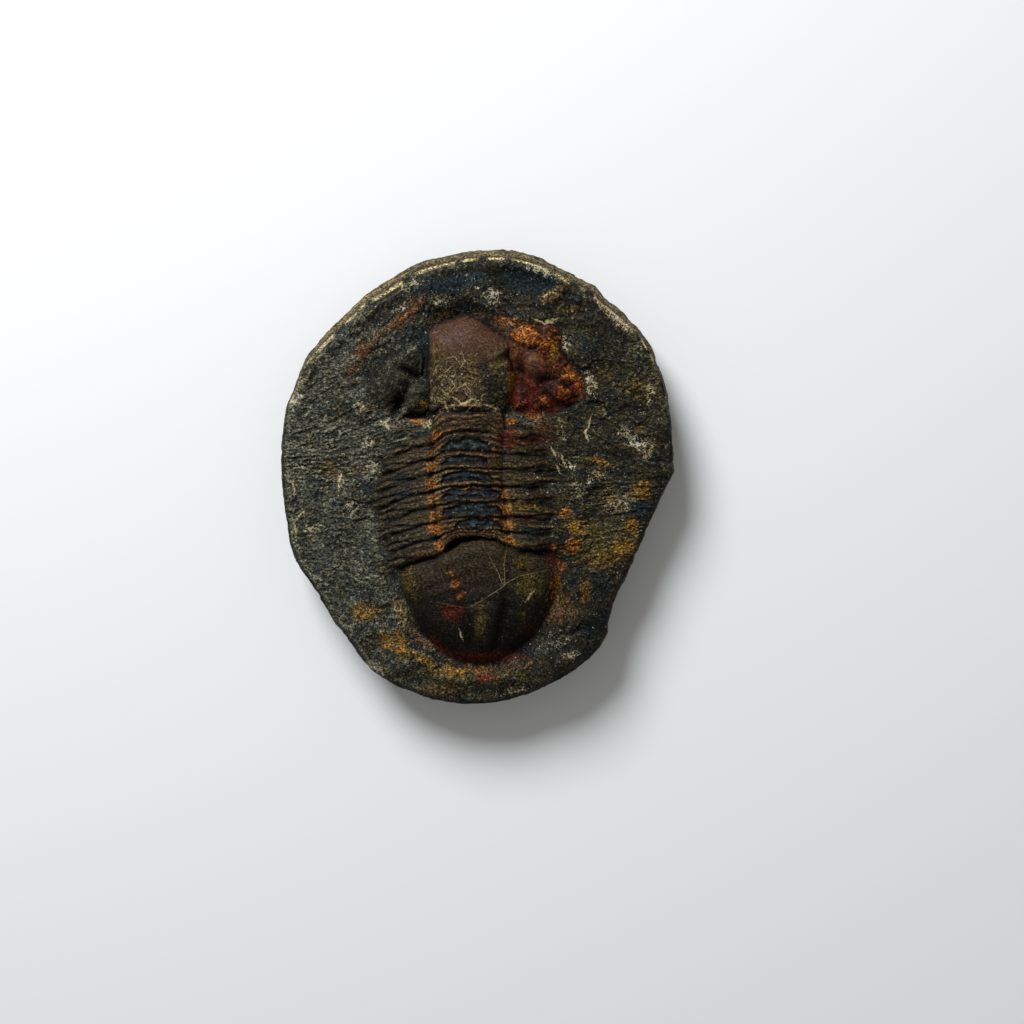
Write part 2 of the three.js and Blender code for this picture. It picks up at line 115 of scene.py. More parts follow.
# The y of the lines between the segments, from the front of the first to the back of the last
SEGMENT_LINES = {
    "middle": (14.7, 11.6, 7.1, 3, -1.1, -4.8, -8.4, -11.2, -12.9),
    "left furrow": (12.2, 8.3, 5, 1.3, -2.6, -6.2, -9.9, -13.4, -17.2),
    "left tip": (7.4, 4.1, 0.5, -3, -6.6, -10.1, -13.9, -17.4, -20.8),
    "right furrow": (13.7, 9.7, 6.2, 2.6, -1.4, -4.8, -8.5, -12.1, -16),
    "right tip": (11.9, 8.8, 5.7, 1.9, -1.8, -5.6, -9.5, -12.7, -16.3),
}

# Rounded forms: x, y, half length, half width, turn in degrees, rise
MATRIX_FORMS = {
    "rusty ridge, upper left": (-22, 34, 12, 2.6, 43, 1.2),
    "trough beside it": (-27.5, 33.5, 9, 2, 45, -0.6),
    "step, left edge": (-36.5, 18.6, 8, 1.6, 20, -0.7),
    "scoop behind the rim": (10, 46.4, 10, 3.6, -12, -1.2),
    "pale ridge": (18.6, 44.2, 4.6, 1.7, 32, 1),
    "shelf above the head": (0, 42, 13, 2.4, -4, 0.7),
    "hollow right of the cheek": (25, 25.2, 6, 1.7, -28, -1),
    "lump beside that hollow": (29, 31, 8, 4, -35, 0.6),
    "mound, right edge": (40.4, 8.8, 6.5, 4, 80, 0.9),
    "scar, lower right edge": (39, -11, 6, 3, 65, -0.7),
    "lump, lower right": (22, -42.6, 7, 3, 38, 0.7),
    "roll behind the tail": (3.4, -46.4, 9, 1.8, 4, 0.6),
    "swell, lower left": (-26, -32, 8, 5, -50, 0.5),
    "swell, left": (-33, -2, 6, 12, 10, 0.5),
    "hollow, right": (29, -3, 7, 9, 0, -0.5),
}
LEFT_HEAD_FORMS = {
    "left cheek": (-19.6, 23.4, 8.2, 4.6, 58, 3),
    "plate beside the glabella": (-14.6, 19.4, 4.4, 3.4, 70, 2.2),
}
RIGHT_HEAD_FORMS = {
    "right eye": (13.6, 26.8, 3.7, 2.6, -45, 1.7),
    "fold below the right eye": (19, 20.6, 4, 1.6, -30, 1.2),
    "crest right of the glabella": (12, 33.4, 5, 2.2, -20, 1),
}
HEAD_PITS = {
    "pit between cheek and plate": (-18.4, 17.6, 3.8, 1.5, 66, -2),
    "notch behind the left eye": (-15.4, 24.8, 3.4, 0.9, -32, -1.3),
    "slot under the plate": (-14.6, 14.9, 3.4, 0.9, 0, -1.6),
    "groove behind the glabella": (-1.6, 16.1, 9, 0.7, 0, -1),
    "groove inside the right eye": (10.2, 25.4, 4.6, 1.1, 80, -1.2),
    "pit below the right eye": (16.6, 22.6, 4.6, 1.4, -38, -1.6),
}

# Where forms come in along the stone or across it: from none to full
REACHES = {
    "steep front of tail": (-24, -17),
    "raised hind axis": (-24, -34),
    "tail furrows": (-42, -39),
    "tail ribs": (-38, -33),
    "worn head": (12, 17),
    "worn right cheek": (7.8, 9.6),
    "worn left cheek": (-11.6, -12.6),
    "crusted glabella": (29.5, 24),
}
RIGHT_EYE = (13.4, 26.6)
RIGHT_EYE_REACH = 2.8
THORAX_FRONT = 10
THORAX_BACK = -18

# The photograph's scale and camera; places of colour and of cracks are read in its pixels
STONE_WIDTH_PX = 390.852
PIXELS_PER_MM = STONE_WIDTH_PX / WIDTH
STONE_CENTRE_PX = (477.8, 478.2)
IMAGE_SIDE_PX = 1024
CAMERA_DISTANCE = 500
CAMERA_LEAN = math.radians(5.5)
FILM_WIDTH = 36
AIM = (
    (IMAGE_SIDE_PX / 2 - STONE_CENTRE_PX[0]) / PIXELS_PER_MM,
    (STONE_CENTRE_PX[1] - IMAGE_SIDE_PX / 2) / PIXELS_PER_MM,
    WIDEST_Z,
)


# Numbers and curves

def smooth(start, end, value):
    share = np.clip((value - start) / (end - start), 0, 1)
    return share * share * (3 - 2 * share)


def mix(a, b, share):
    return a + (b - a) * share


def bell(value, width):
    return np.exp(-((value / width) ** 2))


def along(table, at):
    """The table's value at a place, eased between its rows."""
    places, values = np.array(table, float).T
    row = np.clip(np.searchsorted(places, at) - 1, 0, len(places) - 2)
    return mix(values[row], values[row + 1], smooth(places[row], places[row + 1], at))


def blend_max(a, b, fillet):
    near = np.maximum(0, fillet - np.abs(a - b)) / fillet
    return np.maximum(a, b) + near * near * fillet / 4


def turned(x, y, degrees):
    turn = math.radians(degrees)
    return x * math.cos(turn) + y * math.sin(turn), -x * math.sin(turn) + y * math.cos(turn)


def radius_of(outline, centre):
    """The distance from a centre to a closed smooth outline, as a function of direction."""
    here = np.array(outline, float) - centre
    before, after, beyond = np.roll(here, 1, 0), np.roll(here, -1, 0), np.roll(here, -2, 0)
    t = np.linspace(0, 1, 16, endpoint=False)[:, None, None]
    curve = here + t * (after - before) / 2
    curve = curve + t**2 * (2 * before - 5 * here + 4 * after - beyond) / 2
    curve = curve + t**3 * (3 * here - before - 3 * after + beyond) / 2
    x, y = curve.reshape(-1, 2).T
    angle = np.arctan2(y, x)
    order = np.argsort(angle)
    return lambda at: np.interp(at, angle[order], np.hypot(x, y)[order], period=2 * math.pi)


# Fixed noise, the same on every run

def lattice(column, row, seed):
    mixed = (column * 374761393 + row * 668265263 + seed * 974634777) & 0xFFFFFFFF
    mixed = ((mixed ^ (mixed >> 13)) * 1274126177) & 0xFFFFFFFF
    return ((mixed ^ (mixed >> 16)) & 0xFFFFFF) / 0xFFFFFF


def noise(x, y, seed):
    """Smooth bumps one unit apart, from about -1 to 1."""
    column, row = np.floor(x).astype(np.int64), np.floor(y).astype(np.int64)
    u, v = x - column, y - row

    def corner(right, up):
        angle = 2 * math.pi * lattice(column + right, row + up, seed)
        return np.cos(angle) * (u - right) + np.sin(angle) * (v - up)

    ease_u, ease_v = u**3 * (u * (6 * u - 15) + 10), v**3 * (v * (6 * v - 15) + 10)
    below, above = mix(corner(0, 0), corner(1, 0), ease_u), mix(corner(0, 1), corner(1, 1), ease_u)
    return 1.5 * mix(below, above, ease_v)


def layers(x, y, seed, count=4):
    """Noise with finer and weaker noise on it."""
    return sum(noise(x * 2**i, y * 2**i, seed + i) / 2**i for i in range(count)) / 1.5


def chips(x, y, seed):
    """Flakes one unit across, each a small plane with its own level and tilt."""
    column, row = np.floor(x).astype(np.int64), np.floor(y).astype(np.int64)
    nearest = np.full(x.shape, math.inf)
    level = np.zeros(x.shape)
    for right in (-1, 0, 1):
        for up in (-1, 0, 1):
            cell = (column + right, row + up)
            dx = x - cell[0] - lattice(*cell, seed)
            dy = y - cell[1] - lattice(*cell, seed + 1)
            distance = np.hypot(dx, dy)
            tilt = 2 * math.pi * lattice(*cell, seed + 2)
            plane = lattice(*cell, seed + 3) - 0.5 + 0.9 * (dx * np.cos(tilt) + dy * np.sin(tilt))
            closer = distance < nearest
            level = np.where(closer, plane, level)
            nearest = np.where(closer, distance, nearest)
    return level


# Marks on the face

def blobs(px, py, marks):
    """The strongest of soft ellipses: x, y, half length, half width, turn and strength."""
    best = np.zeros(px.shape)
    for x, y, long, wide, turn, strength in marks:
        u, v = turned(px - x, y - py, turn)
        best = np.maximum(best, strength * np.exp(-0.9 * ((u / long) ** 2 + (v / wide) ** 2) ** 1.3))
    return best


stone_radius = radius_of(STONE_OUTLINE, (0, 0))
tail_radius = radius_of(TAIL_OUTLINE, TAIL_CENTRE)
glabella_radius = radius_of(GLABELLA_OUTLINE, GLABELLA_CENTRE)
cheek_radius = radius_of(CHEEK_OUTLINE, CHEEK_CENTRE)


def share_out(x, y, centre, radius):
    """0 at an outline's centre and 1 on the outline, with the gap beyond it."""
    dx, dy = x - centre[0], y - centre[1]
    reach = radius(np.arctan2(dy, dx))
    return np.hypot(dx, dy) / reach, np.hypot(dx, dy) - reach


def soft_form(form, x, y, sharp=1.0):
    centre_x, centre_y, long, wide, turn, rise = form
    u, v = turned(x - centre_x, y - centre_y, turn)
    return rise * np.exp(-1.2 * ((u / long) ** 2 + (v / wide) ** 2) ** sharp)


def bevel_at(angle):
    return EDGE_BEVEL + HEAD_END_BEVEL * smooth(0.35, 0.95, np.sin(angle))


def edge_chips(angle):
    """Small bites out of the stone's outline."""
    x, y = EDGE_NOISE_RADIUS * np.cos(angle), EDGE_NOISE_RADIUS * np.sin(angle)
    bites = smooth(0.25, 0.6, noise(x / 2.6, y / 2.6, 15)) * smooth(-0.1, 0.5, noise(x / 17, y / 17, 19))
    return 0.28 * layers(x / 6, y / 6, 11) - 0.25 - 0.5 * bites


# The animal's forms

def segment_count(offset, y):
    """How many segments lie in front of a place, with the share of its own one that does."""
    side = np.abs(offset)
    reach = np.where(offset < 0, LEFT_FLANK, RIGHT_FLANK)
    inner = np.clip(side / AXIS_HALF_WIDTH, 0, 1) ** 3
    outer = np.clip((side - AXIS_HALF_WIDTH) / (reach - AXIS_HALF_WIDTH), 0, 1.15) ** 1.35
    lines = []
    for middle, left_furrow, left_tip, right_furrow, right_tip in zip(*SEGMENT_LINES.values()):
        furrow = np.where(offset < 0, left_furrow, right_furrow)
        tip = np.where(offset < 0, left_tip, right_tip)
        lines.append(np.where(side < AXIS_HALF_WIDTH, mix(middle, furrow, inner), mix(furrow, tip, outer)))
    count = (lines[0] - y) / SEGMENT_PITCH
    for number in range(SEGMENTS):
        share = (lines[number] - y) / (lines[number] - lines[number + 1])
        count = np.where(share >= 0, number + share, count)
    return count


# Where the shell has flaked off the rings: from and to across the axis, then the patch's front and back
# as shares of the segment
RING_PATCHES = {
    1: (-6.5, 5.7, 0.36, 0.95),
    2: (-6.2, 4.8, 0.28, 0.72),
    3: (-6.3, 6.3, 0.14, 0.74),
    4: (-6, 7.8, 0.02, 0.8),
    5: (-6.6, 7.6, 0.05, 0.84),
    6: (-4, 7.1, 0.08, 0.9),
}


def ring_patches(x, y, offset, number, phase):
    """The rings' flaked patches, and the dark rims around them, painted shadow at the patches' edges."""
    patch = np.zeros(x.shape)
    rim = np.zeros(x.shape)
    ragged = 0.1 * noise(x / 1.7, y / 1.2, 31) + 0.05 * noise(x / 0.7, y / 0.7, 32)
    for ring, (start, end, front, back) in RING_PATCHES.items():
        middle, half = (start + end) / 2, (end - start) / 2
        bow = np.sqrt(np.clip(1 - ((offset - middle) / half) ** 2, 0, 1))
        inward = np.minimum(phase - back + (back - front + 0.08) * bow**0.7, back - phase) + ragged
        here = (number == ring) * (bow > 0)
        patch = np.maximum(patch, smooth(0, 0.09, inward) * here)
        rim = np.maximum(rim, bell(inward - 0.05, 0.09) * here)
    return patch, rim


def thorax(x, y):
    """Height, and the places of the rings' flaked patches, the furrow pads, the dark lines of painted
    shadow in the gaps and furrows, and the paler ribs and ridges, partly painted highlight.
    """
    offset = x - along(MIDLINE, y)
    side = np.abs(offset)
    on_left = offset < 0
    count = segment_count(offset, y + 0.12 * noise(x / 2.6, y / 1.4, 30))
    number = np.floor(count)
    phase = count - number
    on_axis = 1 - smooth(AXIS_HALF_WIDTH - 0.7, AXIS_HALF_WIDTH + 0.3, side)
    varied = lattice(number.astype(np.int64), on_left.astype(np.int64), 5) - 0.5
    reach = np.where(on_left, LEFT_FLANK - 0.9, RIGHT_FLANK - 1) - 2.4 * smooth(2.2, 0.6, count)
    reach = reach + 0.9 * varied
    outward = np.clip((side - AXIS_HALF_WIDTH) / (reach - AXIS_HALF_WIDTH), 0, 1.4)
    uneven = 0.7 + 0.6 * noise(x / 2.4, y / 2, 33)
    broken = 0.65 + 0.7 * noise(x / 2.2, y / 1.1, 38)

    patch, patch_shadow_rim = ring_patches(x, y, offset, number, phase)
    lobe = np.sqrt(np.clip(1 - (side / AXIS_HALF_WIDTH) ** 2, 0, 1))
    ring_gap = bell(phase, 0.08) + bell(phase - 1, 0.08)
    ring_lines = np.sin(phase * 19 - 1.2 + 2.4 * noise(x / 4.5, y / 3, 34))
    ring = 0.1 + 0.25 * bell(phase - 0.85, 0.16) + 0.17 * ring_lines * broken - 0.6 * ring_gap * uneven
    first_gap = 1.6 * bell(count - 1.03, 0.13) * smooth(6.5, 3, offset)
    ring = ring * mix(0.3, 1, smooth(0.2, 1.4, count)) - 0.35 * first_gap
    ring = ring - patch * (0.5 + 0.25 * layers(x / 1.5, y / 1, 35, 2))

    tip = np.clip(outward, 0, 1)
    gap_width = 0.06 + np.where(on_left, 0.11, 0.22) * tip**2
    rib_gap = bell(np.minimum(phase, 1 - phase), gap_width) * (0.45 + 0.85 * tip**1.2)
    bend = mix(0.93, np.where(on_left, 0.46, 0.66), smooth(0.35, 0.95, tip))
    rib_furrow = bell(phase - bend, 0.07) * (0.15 + np.where(on_left, 0.7, 0.5) * tip)
    rib_lines = np.sin(phase * 26 + 3 * tip + 1.5 * noise(x / 3, y / 3, 36))
    rib = 0.3 * (phase - 0.5) - (rib_gap + rib_furrow) * uneven + 0.06 * rib_lines * broken

    pad = bell(side - AXIS_HALF_WIDTH - 0.2, 1.3) * smooth(0.06, 0.3, phase) * smooth(0.94, 0.7, phase)
    pad = pad * np.where(on_left, smooth(1.2, 1.8, count), smooth(3.6, 4.4, count))
    shallow = np.where(on_left, 1, 1 - 0.7 * smooth(4.2, 3, count))
    furrow = -0.75 * shallow * bell(side - AXIS_HALF_WIDTH, 0.9) + 0.55 * pad
    flank = FLANK_RISE * (1 - 0.78 * tip**1.5) - 5 * np.maximum(0, outward - 1)
    hind = 0.8 * smooth(6.6, 8, count)
    level = mix(flank, FLANK_RISE - 0.4 + (AXIS_RISE - FLANK_RISE + 0.4 - hind) * lobe, on_axis)
    front_end = mix(0.5, -0.9 + 0.3 * (side / AXIS_HALF_WIDTH) ** 3, on_axis)
    shown = smooth(front_end - 0.35, front_end, count) * (1 - smooth(SEGMENTS, SEGMENTS + 0.3, count))
    height = mix(BURIED, level + mix(rib, ring, on_axis) + furrow, shown)

    # Painted shadow: dark lines in the ring and rib gaps, the rib furrows and around the patches.
    ring_shadow = 0.8 * ring_gap * smooth(-0.5, 1, count) + 1.2 * patch_shadow_rim + first_gap
    dark = mix(rib_gap + 0.7 * rib_furrow, ring_shadow, on_axis) * uneven
    # Paler ribs and ring ridges: partly their own tone, partly painted highlight on their raised parts.
    rib_light = smooth(0.1, 0.5, phase) * smooth(0.05, 0.2, np.abs(phase - bend)) * (0.7 + 0.2 * rib_lines)
    light = mix(rib_light, (1 - patch) * smooth(-0.3, 0.8, ring_lines), on_axis)
    return height, {
        "patch": patch * shown * on_axis,
        "pad": pad * shown,
        "dark": np.clip(dark, 0, 1) * shown,
        "light": np.clip(light, 0, 1) * shown,
        "on_axis": on_axis,
        "segment": count,
        "segmented": shown,
    }


def tail(x, y):
    """Height, and the gap from the tail's outline."""
    share, gap = share_out(x, y, TAIL_CENTRE, tail_radius)
    middle, half = along(MIDLINE, y), along(TAIL_AXIS, y)
    side = np.abs(x - middle)
    steep = smooth(*REACHES["steep front of tail"], y)
    dome = 1 - share ** mix(2.8, mix(4.6, 16, smooth(11, 7, side)), steep)
    hind = smooth(*REACHES["raised hind axis"], y)
    axis = (0.5 + 0.5 * hind) * (1 - smooth(half - 1, half + 0.8, side))
    furrow = -(0.25 + 0.75 * hind) * bell(side - half - 1, 1.5) * smooth(*REACHES["tail furrows"], y)
    ribs = 0.1 * np.sin((y + 0.35 * side) * 1.9) * smooth(*REACHES["tail ribs"], y)
    ribs = ribs * smooth(0.95, 0.7, share)
    terraces = 0.05 * np.sin(share * 70 + noise(x / 3, y / 3, 41)) * smooth(0.72, 0.85, share)
    inside = np.clip(1.6 * dome, 0, 1)
    return -1 + TAIL_RISE * dome + (axis + furrow + ribs) * inside + terraces, gap


def head(x, y):
    """Height, and the gap from the nearer of the glabella's and the right cheek's outlines."""
    share, gap = share_out(x, y, GLABELLA_CENTRE, glabella_radius)
    glabella = -0.8 + (GLABELLA_RISE + 0.8) * (1 - share**4.5)
    cheek_share, cheek_gap = share_out(x, y, CHEEK_CENTRE, cheek_radius)
    cheek_share = cheek_share * (1 + 0.12 * layers(x / 2.8, y / 2.8, 87, 2))
    cheek = -0.7 + 1.7 * (1 - cheek_share**3)
    left_rise = np.maximum.reduce([soft_form(f, x, y, 1.4) for f in LEFT_HEAD_FORMS.values()])
    left = mix(BURIED, left_rise - 0.9, smooth(0, 0.5, left_rise))
    right = cheek + np.maximum.reduce([soft_form(f, x, y, 2.4) for f in RIGHT_HEAD_FORMS.values()])
    return np.maximum(blend_max(glabella, right, 0.5), left), np.minimum(gap, cheek_gap + 2.5)


def grain_angle(x, y):
    """The grain's turn: along the rim at the upper left and lower right, and nearly level elsewhere."""
    return np.radians(-12 + 48 * np.clip(-x * y / 500, 0, 1))


def hackles(x, y):
    """The rough, flaky break of the matrix."""
    turn = grain_angle(x, y)
    u = x * np.cos(turn) + y * np.sin(turn)
    v = -x * np.sin(turn) + y * np.cos(turn)
    bend = 0.5 * layers(x / 3, y / 3, 51)
    coarse = chips((u + bend) / 5.2, (v + bend) / 2.6, 53)
    fine = chips((u - bend) / 1.9, (v + bend) / 0.95, 57)
    rough = 0.3 * coarse + 0.18 * fine + 0.17 * layers(u / 1.1, v / 0.7, 61, 3)
    return rough + 0.42 * layers(x / 6.5, y / 5.5, 65)


def waves(x, y):
    """The slow swell of the matrix."""
    return (
        0.22 * np.sin(0.21 * x + 0.33 * y + 0.6)
        + 0.18 * np.sin(0.47 * x - 0.19 * y + 2.1)
        + 0.14 * np.sin(0.13 * x - 0.61 * y + 4)
    )


def nearness(x, y, gap):
    """1 on the animal's edge or inside it, falling to 0 outside, for the thorax and for the rest of it."""
    offset = x - along(MIDLINE, y)
    reach = np.where(offset < 0, LEFT_FLANK, RIGHT_FLANK)
    beyond = np.maximum(0, np.maximum(y - THORAX_FRONT, THORAX_BACK - y))
    thorax_gap = np.hypot(np.maximum(0, np.abs(offset) - reach), beyond)
    return 1 - smooth(0, MOAT_REACH * 0.7, thorax_gap), 1 - smooth(0, MOAT_REACH, gap)


def face(x, y):
    """The split face's height, and the masks that its colours need."""
    wobble = 0.3 * layers(x / 3.4, y / 3.4, 71), 0.3 * layers(x / 3.4, y / 3.4, 75)
    wx, wy = x + wobble[0], y + wobble[1]
    thorax_z, marks = thorax(wx, wy)
    tail_z, tail_gap = tail(wx, wy)
    head_z, head_gap = head(wx, wy)
    animal = np.maximum.reduce([thorax_z, tail_z, head_z])

    angle = np.arctan2(y, x)
    from_edge = stone_radius(angle) - bevel_at(angle) - np.hypot(x, y)
    edge = EDGE_DROP * (1 - smooth(0, EDGE_ROUND, from_edge)) ** 2
    forms = sum(soft_form(form, x, y) for form in MATRIX_FORMS.values()) * smooth(0, 3, from_edge)
    beside, near = nearness(wx, wy, np.minimum(tail_gap, head_gap))
    rough = hackles(x, y)
    rough_share = (1 - 0.6 * near) * smooth(0, 1.5, from_edge)
    moat = MOAT_DEPTH * np.maximum(near, BESIDE_THORAX * beside)
    matrix = waves(x, y) + forms - edge - moat + rough * rough_share

    shell = smooth(-0.35, 0.35, animal - matrix)
    pits = sum(soft_form(form, wx, wy) for form in HEAD_PITS.values())
    worn_left, worn_right = (smooth(*REACHES[name], wx) for name in ("worn left cheek", "worn right cheek"))
    worn = smooth(*REACHES["worn head"], wy) * np.maximum(worn_right, 0.75 * worn_left)
    worn = worn * (1 - bell(np.hypot(wx - RIGHT_EYE[0], wy - RIGHT_EYE[1]), RIGHT_EYE_REACH))
    crust = smooth(-0.3, 0.3, head_z - thorax_z) * smooth(*REACHES["crusted glabella"], wy) * (1 - worn)
    texture = 0.05 * layers(x / 0.8, y / 0.8, 81, 3) + crust * 0.16 * layers(x / 1.3, y / 1.1, 83)
    texture = texture + worn * (0.55 * rough + 0.55 * layers(x / 2.6, y / 2.1, 85))
    height = FACE_Z + blend_max(matrix, animal, 0.4) + pits + texture * shell
    marks.update(
        shell=shell,
        from_edge=from_edge,
        worn=np.maximum(worn, 0.6 * crust),
        tail=smooth(-0.3, 0.3, tail_z - np.maximum(thorax_z, matrix)),
        head=smooth(-0.3, 0.3, head_z - np.maximum(thorax_z, matrix)),
    )
    return height, marks


# Colours, as seen in the photograph

def linear(level):
    """A display level, from 0 to 255, as the linear light that shaders take."""
    share = level / 255
    return share / 12.92 if share <= 0.04045 else ((share + 0.055) / 1.055) ** 2.4


DISPLAY_COLOURS = {
    "slate": (60, 64, 54), "grey": (76, 77, 68), "blue slate": (24, 35, 36), "teal": (11, 28, 34),
    "green black": (18, 19, 12), "dust": (128, 124, 100), "tan": (92, 75, 40), "olive": (80, 68, 24),
    "shell": (62, 50, 31), "dark shell": (24, 19, 11), "grey shell": (45, 36, 20), "purple": (74, 50, 39),
    "blue patch": (7, 12, 15), "patch light": (62, 76, 80), "ridge": (112, 94, 54),
    "red ridge": (84, 54, 32), "rib": (80, 72, 52), "orange": (140, 78, 18), "rust": (88, 55, 27),
    "ochre": (122, 89, 28), "red": (66, 16, 6), "pad": (136, 88, 36), "black": (4, 3, 2),
    "white": (184, 182, 170), "cream": (196, 178, 132), "cortex": (84, 76, 54), "gold": (132, 108, 66),
    "dark red": (56, 18, 8),
}
COLOURS = {name: np.array([linear(level) for level in levels]) for name, levels in DISPLAY_COLOURS.items()}

# Stains, specks and shadows: x and y in pixels, half length, half width, turn and strength
ORANGE = [
    (524, 332, 14, 12, -12, 1), (506, 320, 14, 6, -20, 0.8), (546, 345, 8, 14, -20, 0.75),
    (570, 372, 6, 10, 30, 0.8), (580, 388, 4, 12, 0, 0.9), (510, 422, 8, 5, 0, 1),
    (436, 436, 8, 5, 25, 0.9), (433, 527, 9, 5, 10, 0.9), (565, 512, 9, 6, 0, 0.8),
    (556, 584, 5, 18, -10, 0.9), (560, 566, 8, 6, 60, 0.7), (455, 583, 4, 5, -20, 1),
    (460, 595, 5, 4, 30, 1), (480, 670, 14, 6, 0, 0.6), (574, 545, 8, 8, 0, 0.9),
    (535, 415, 10, 6, 0, 0.8), (448, 434, 12, 3, 15, 0.6), (404, 317, 8, 4, 30, 0.5),
    (418, 421, 12, 4, -5, 0.7), (555, 548, 14, 5, -25, 0.6), (541, 398, 8, 3, 30, 0.7),
    (560, 392, 8, 5, 60, 0.6), (586, 595, 3, 6, 0, 0.7), (462, 530, 16, 3, 10, 0.4),
]
RUST = [
    (352, 369, 12, 7, 50, 0.9), (364, 351, 14, 9, 50, 1), (378, 336, 10, 6, 30, 0.8),
    (397, 323, 16, 6, 30, 1), (412, 308, 9, 8, 60, 0.9), (421, 299, 6, 6, 0, 0.8),
    (440, 318, 18, 6, 20, 0.7), (476, 314, 30, 4, 0, 0.6), (395, 425, 12, 5, -10, 0.6),
    (540, 430, 22, 8, 0, 0.8), (508, 440, 12, 14, 0, 1), (420, 640, 14, 5, -45, 0.7),
    (520, 665, 30, 8, 8, 0.5), (470, 668, 34, 6, 0, 0.6), (560, 612, 22, 12, 30, 0.7),
    (484, 672, 14, 9, 0, 0.8), (545, 400, 26, 14, 0, 0.6), (520, 350, 20, 10, 0, 0.8),
    (372, 408, 8, 7, 0, 0.5), (500, 328, 14, 8, -45, 0.8),
]
OCHRE = [
    (400, 645, 9, 15, 20, 1), (386, 640, 12, 10, -40, 0.8), (364, 612, 15, 10, 0, 0.85),
    (425, 662, 16, 6, -35, 0.9), (452, 672, 18, 7, -5, 0.9), (640, 490, 14, 10, 30, 0.8),
    (632, 526, 8, 10, 30, 1), (624, 548, 13, 9, 20, 1), (575, 528, 12, 9, 0, 0.9),
    (600, 560, 26, 12, 0, 0.6), (424, 405, 6, 7, 0, 1), (554, 352, 5, 16, -15, 0.9),
    (513, 385, 5, 15, 0, 1), (585, 590, 7, 14, 0, 0.7), (452, 572, 4, 4, 0, 0.8),
    (521, 565, 4, 3, 0, 0.8), (436, 352, 8, 14, 0, 0.4), (640, 385, 26, 20, 30, 0.4),
    (600, 462, 16, 5, -20, 0.8), (330, 468, 14, 16, 0, 0.5), (360, 470, 12, 12, 0, 0.4),
    (520, 470, 24, 6, 0, 0.3), (524, 505, 20, 6, 0, 0.55), (468, 486, 26, 4, 0, 0.6),
    (440, 690, 40, 7, 0, 0.5), (345, 525, 26, 10, 0, 0.25), (560, 600, 26, 10, 40, 0.5),
    (640, 430, 10, 6, 0, 0.5), (610, 500, 20, 14, 0, 0.5),
]
OLIVE = [
    (410, 582, 9, 22, 12, 0.7), (530, 586, 18, 16, 0, 0.9), (526, 562, 14, 6, -20, 0.6),
    (524, 615, 10, 14, 20, 0.5), (480, 622, 8, 28, -8, 0.7), (600, 375, 30, 26, 0, 0.4),
    (525, 505, 20, 5, 0, 0.8), (600, 540, 34, 26, 0, 0.7), (364, 612, 20, 14, 0, 0.6),
    (570, 610, 18, 12, 30, 0.7), (560, 425, 14, 10, 0, 0.5), (440, 350, 8, 16, 0, 0.6),
    (470, 676, 80, 14, 0, 0.5), (620, 590, 24, 30, 0, 0.5),
]
RED = [
    (526, 385, 12, 18, 0, 1), (548, 388, 16, 10, -35, 1), (530, 408, 22, 10, 0, 0.7),
    (555, 405, 18, 8, 20, 0.8), (508, 440, 11, 11, 0, 1), (486, 656, 44, 7, 0, 0.9),
    (452, 613, 16, 10, 0, 0.8), (550, 558, 16, 5, -40, 0.9), (414, 416, 14, 4, 0, 0.9),
    (530, 632, 12, 14, -50, 0.6), (470, 453, 30, 3, 0, 0.5), (518, 518, 30, 3, 0, 0.7),
    (420, 553, 20, 5, 25, 0.5), (516, 395, 6, 14, 0, 0.9), (440, 645, 16, 6, -45, 0.7),
    (486, 678, 14, 6, 0, 0.8), (542, 354, 12, 8, 20, 0.6), (565, 515, 10, 6, 0, 0.4),
    (532, 440, 26, 9, 0, 0.65), (540, 380, 30, 14, -30, 0.6),
]
BLUE = [
    (424, 345, 6, 20, 0, 1), (410, 335, 10, 12, 0, 0.7), (526, 533, 15, 6, 15, 1), (402, 477, 9, 6, 0, 1),
    (404, 494, 13, 6, 10, 1), (434, 538, 7, 5, 0, 1), (530, 280, 34, 15, -10, 1),
    (450, 284, 50, 10, 12, 0.8), (600, 620, 34, 10, 35, 0.8), (574, 590, 5, 16, 0, 0.9),
    (335, 335, 26, 9, 45, 0.9), (640, 508, 14, 16, 20, 0.9), (540, 650, 34, 12, 20, 0.6),
    (600, 456, 16, 4, -20, 0.9), (355, 590, 26, 12, -40, 0.5), (316, 495, 14, 7, 0, 0.7),
    (600, 585, 16, 20, 0, 0.7), (350, 640, 14, 6, -40, 0.6), (370, 300, 14, 8, 35, 0.7),
    (590, 345, 22, 12, 0, 0.6), (320, 560, 14, 20, -30, 0.5), (420, 690, 30, 6, -15, 0.6),
]
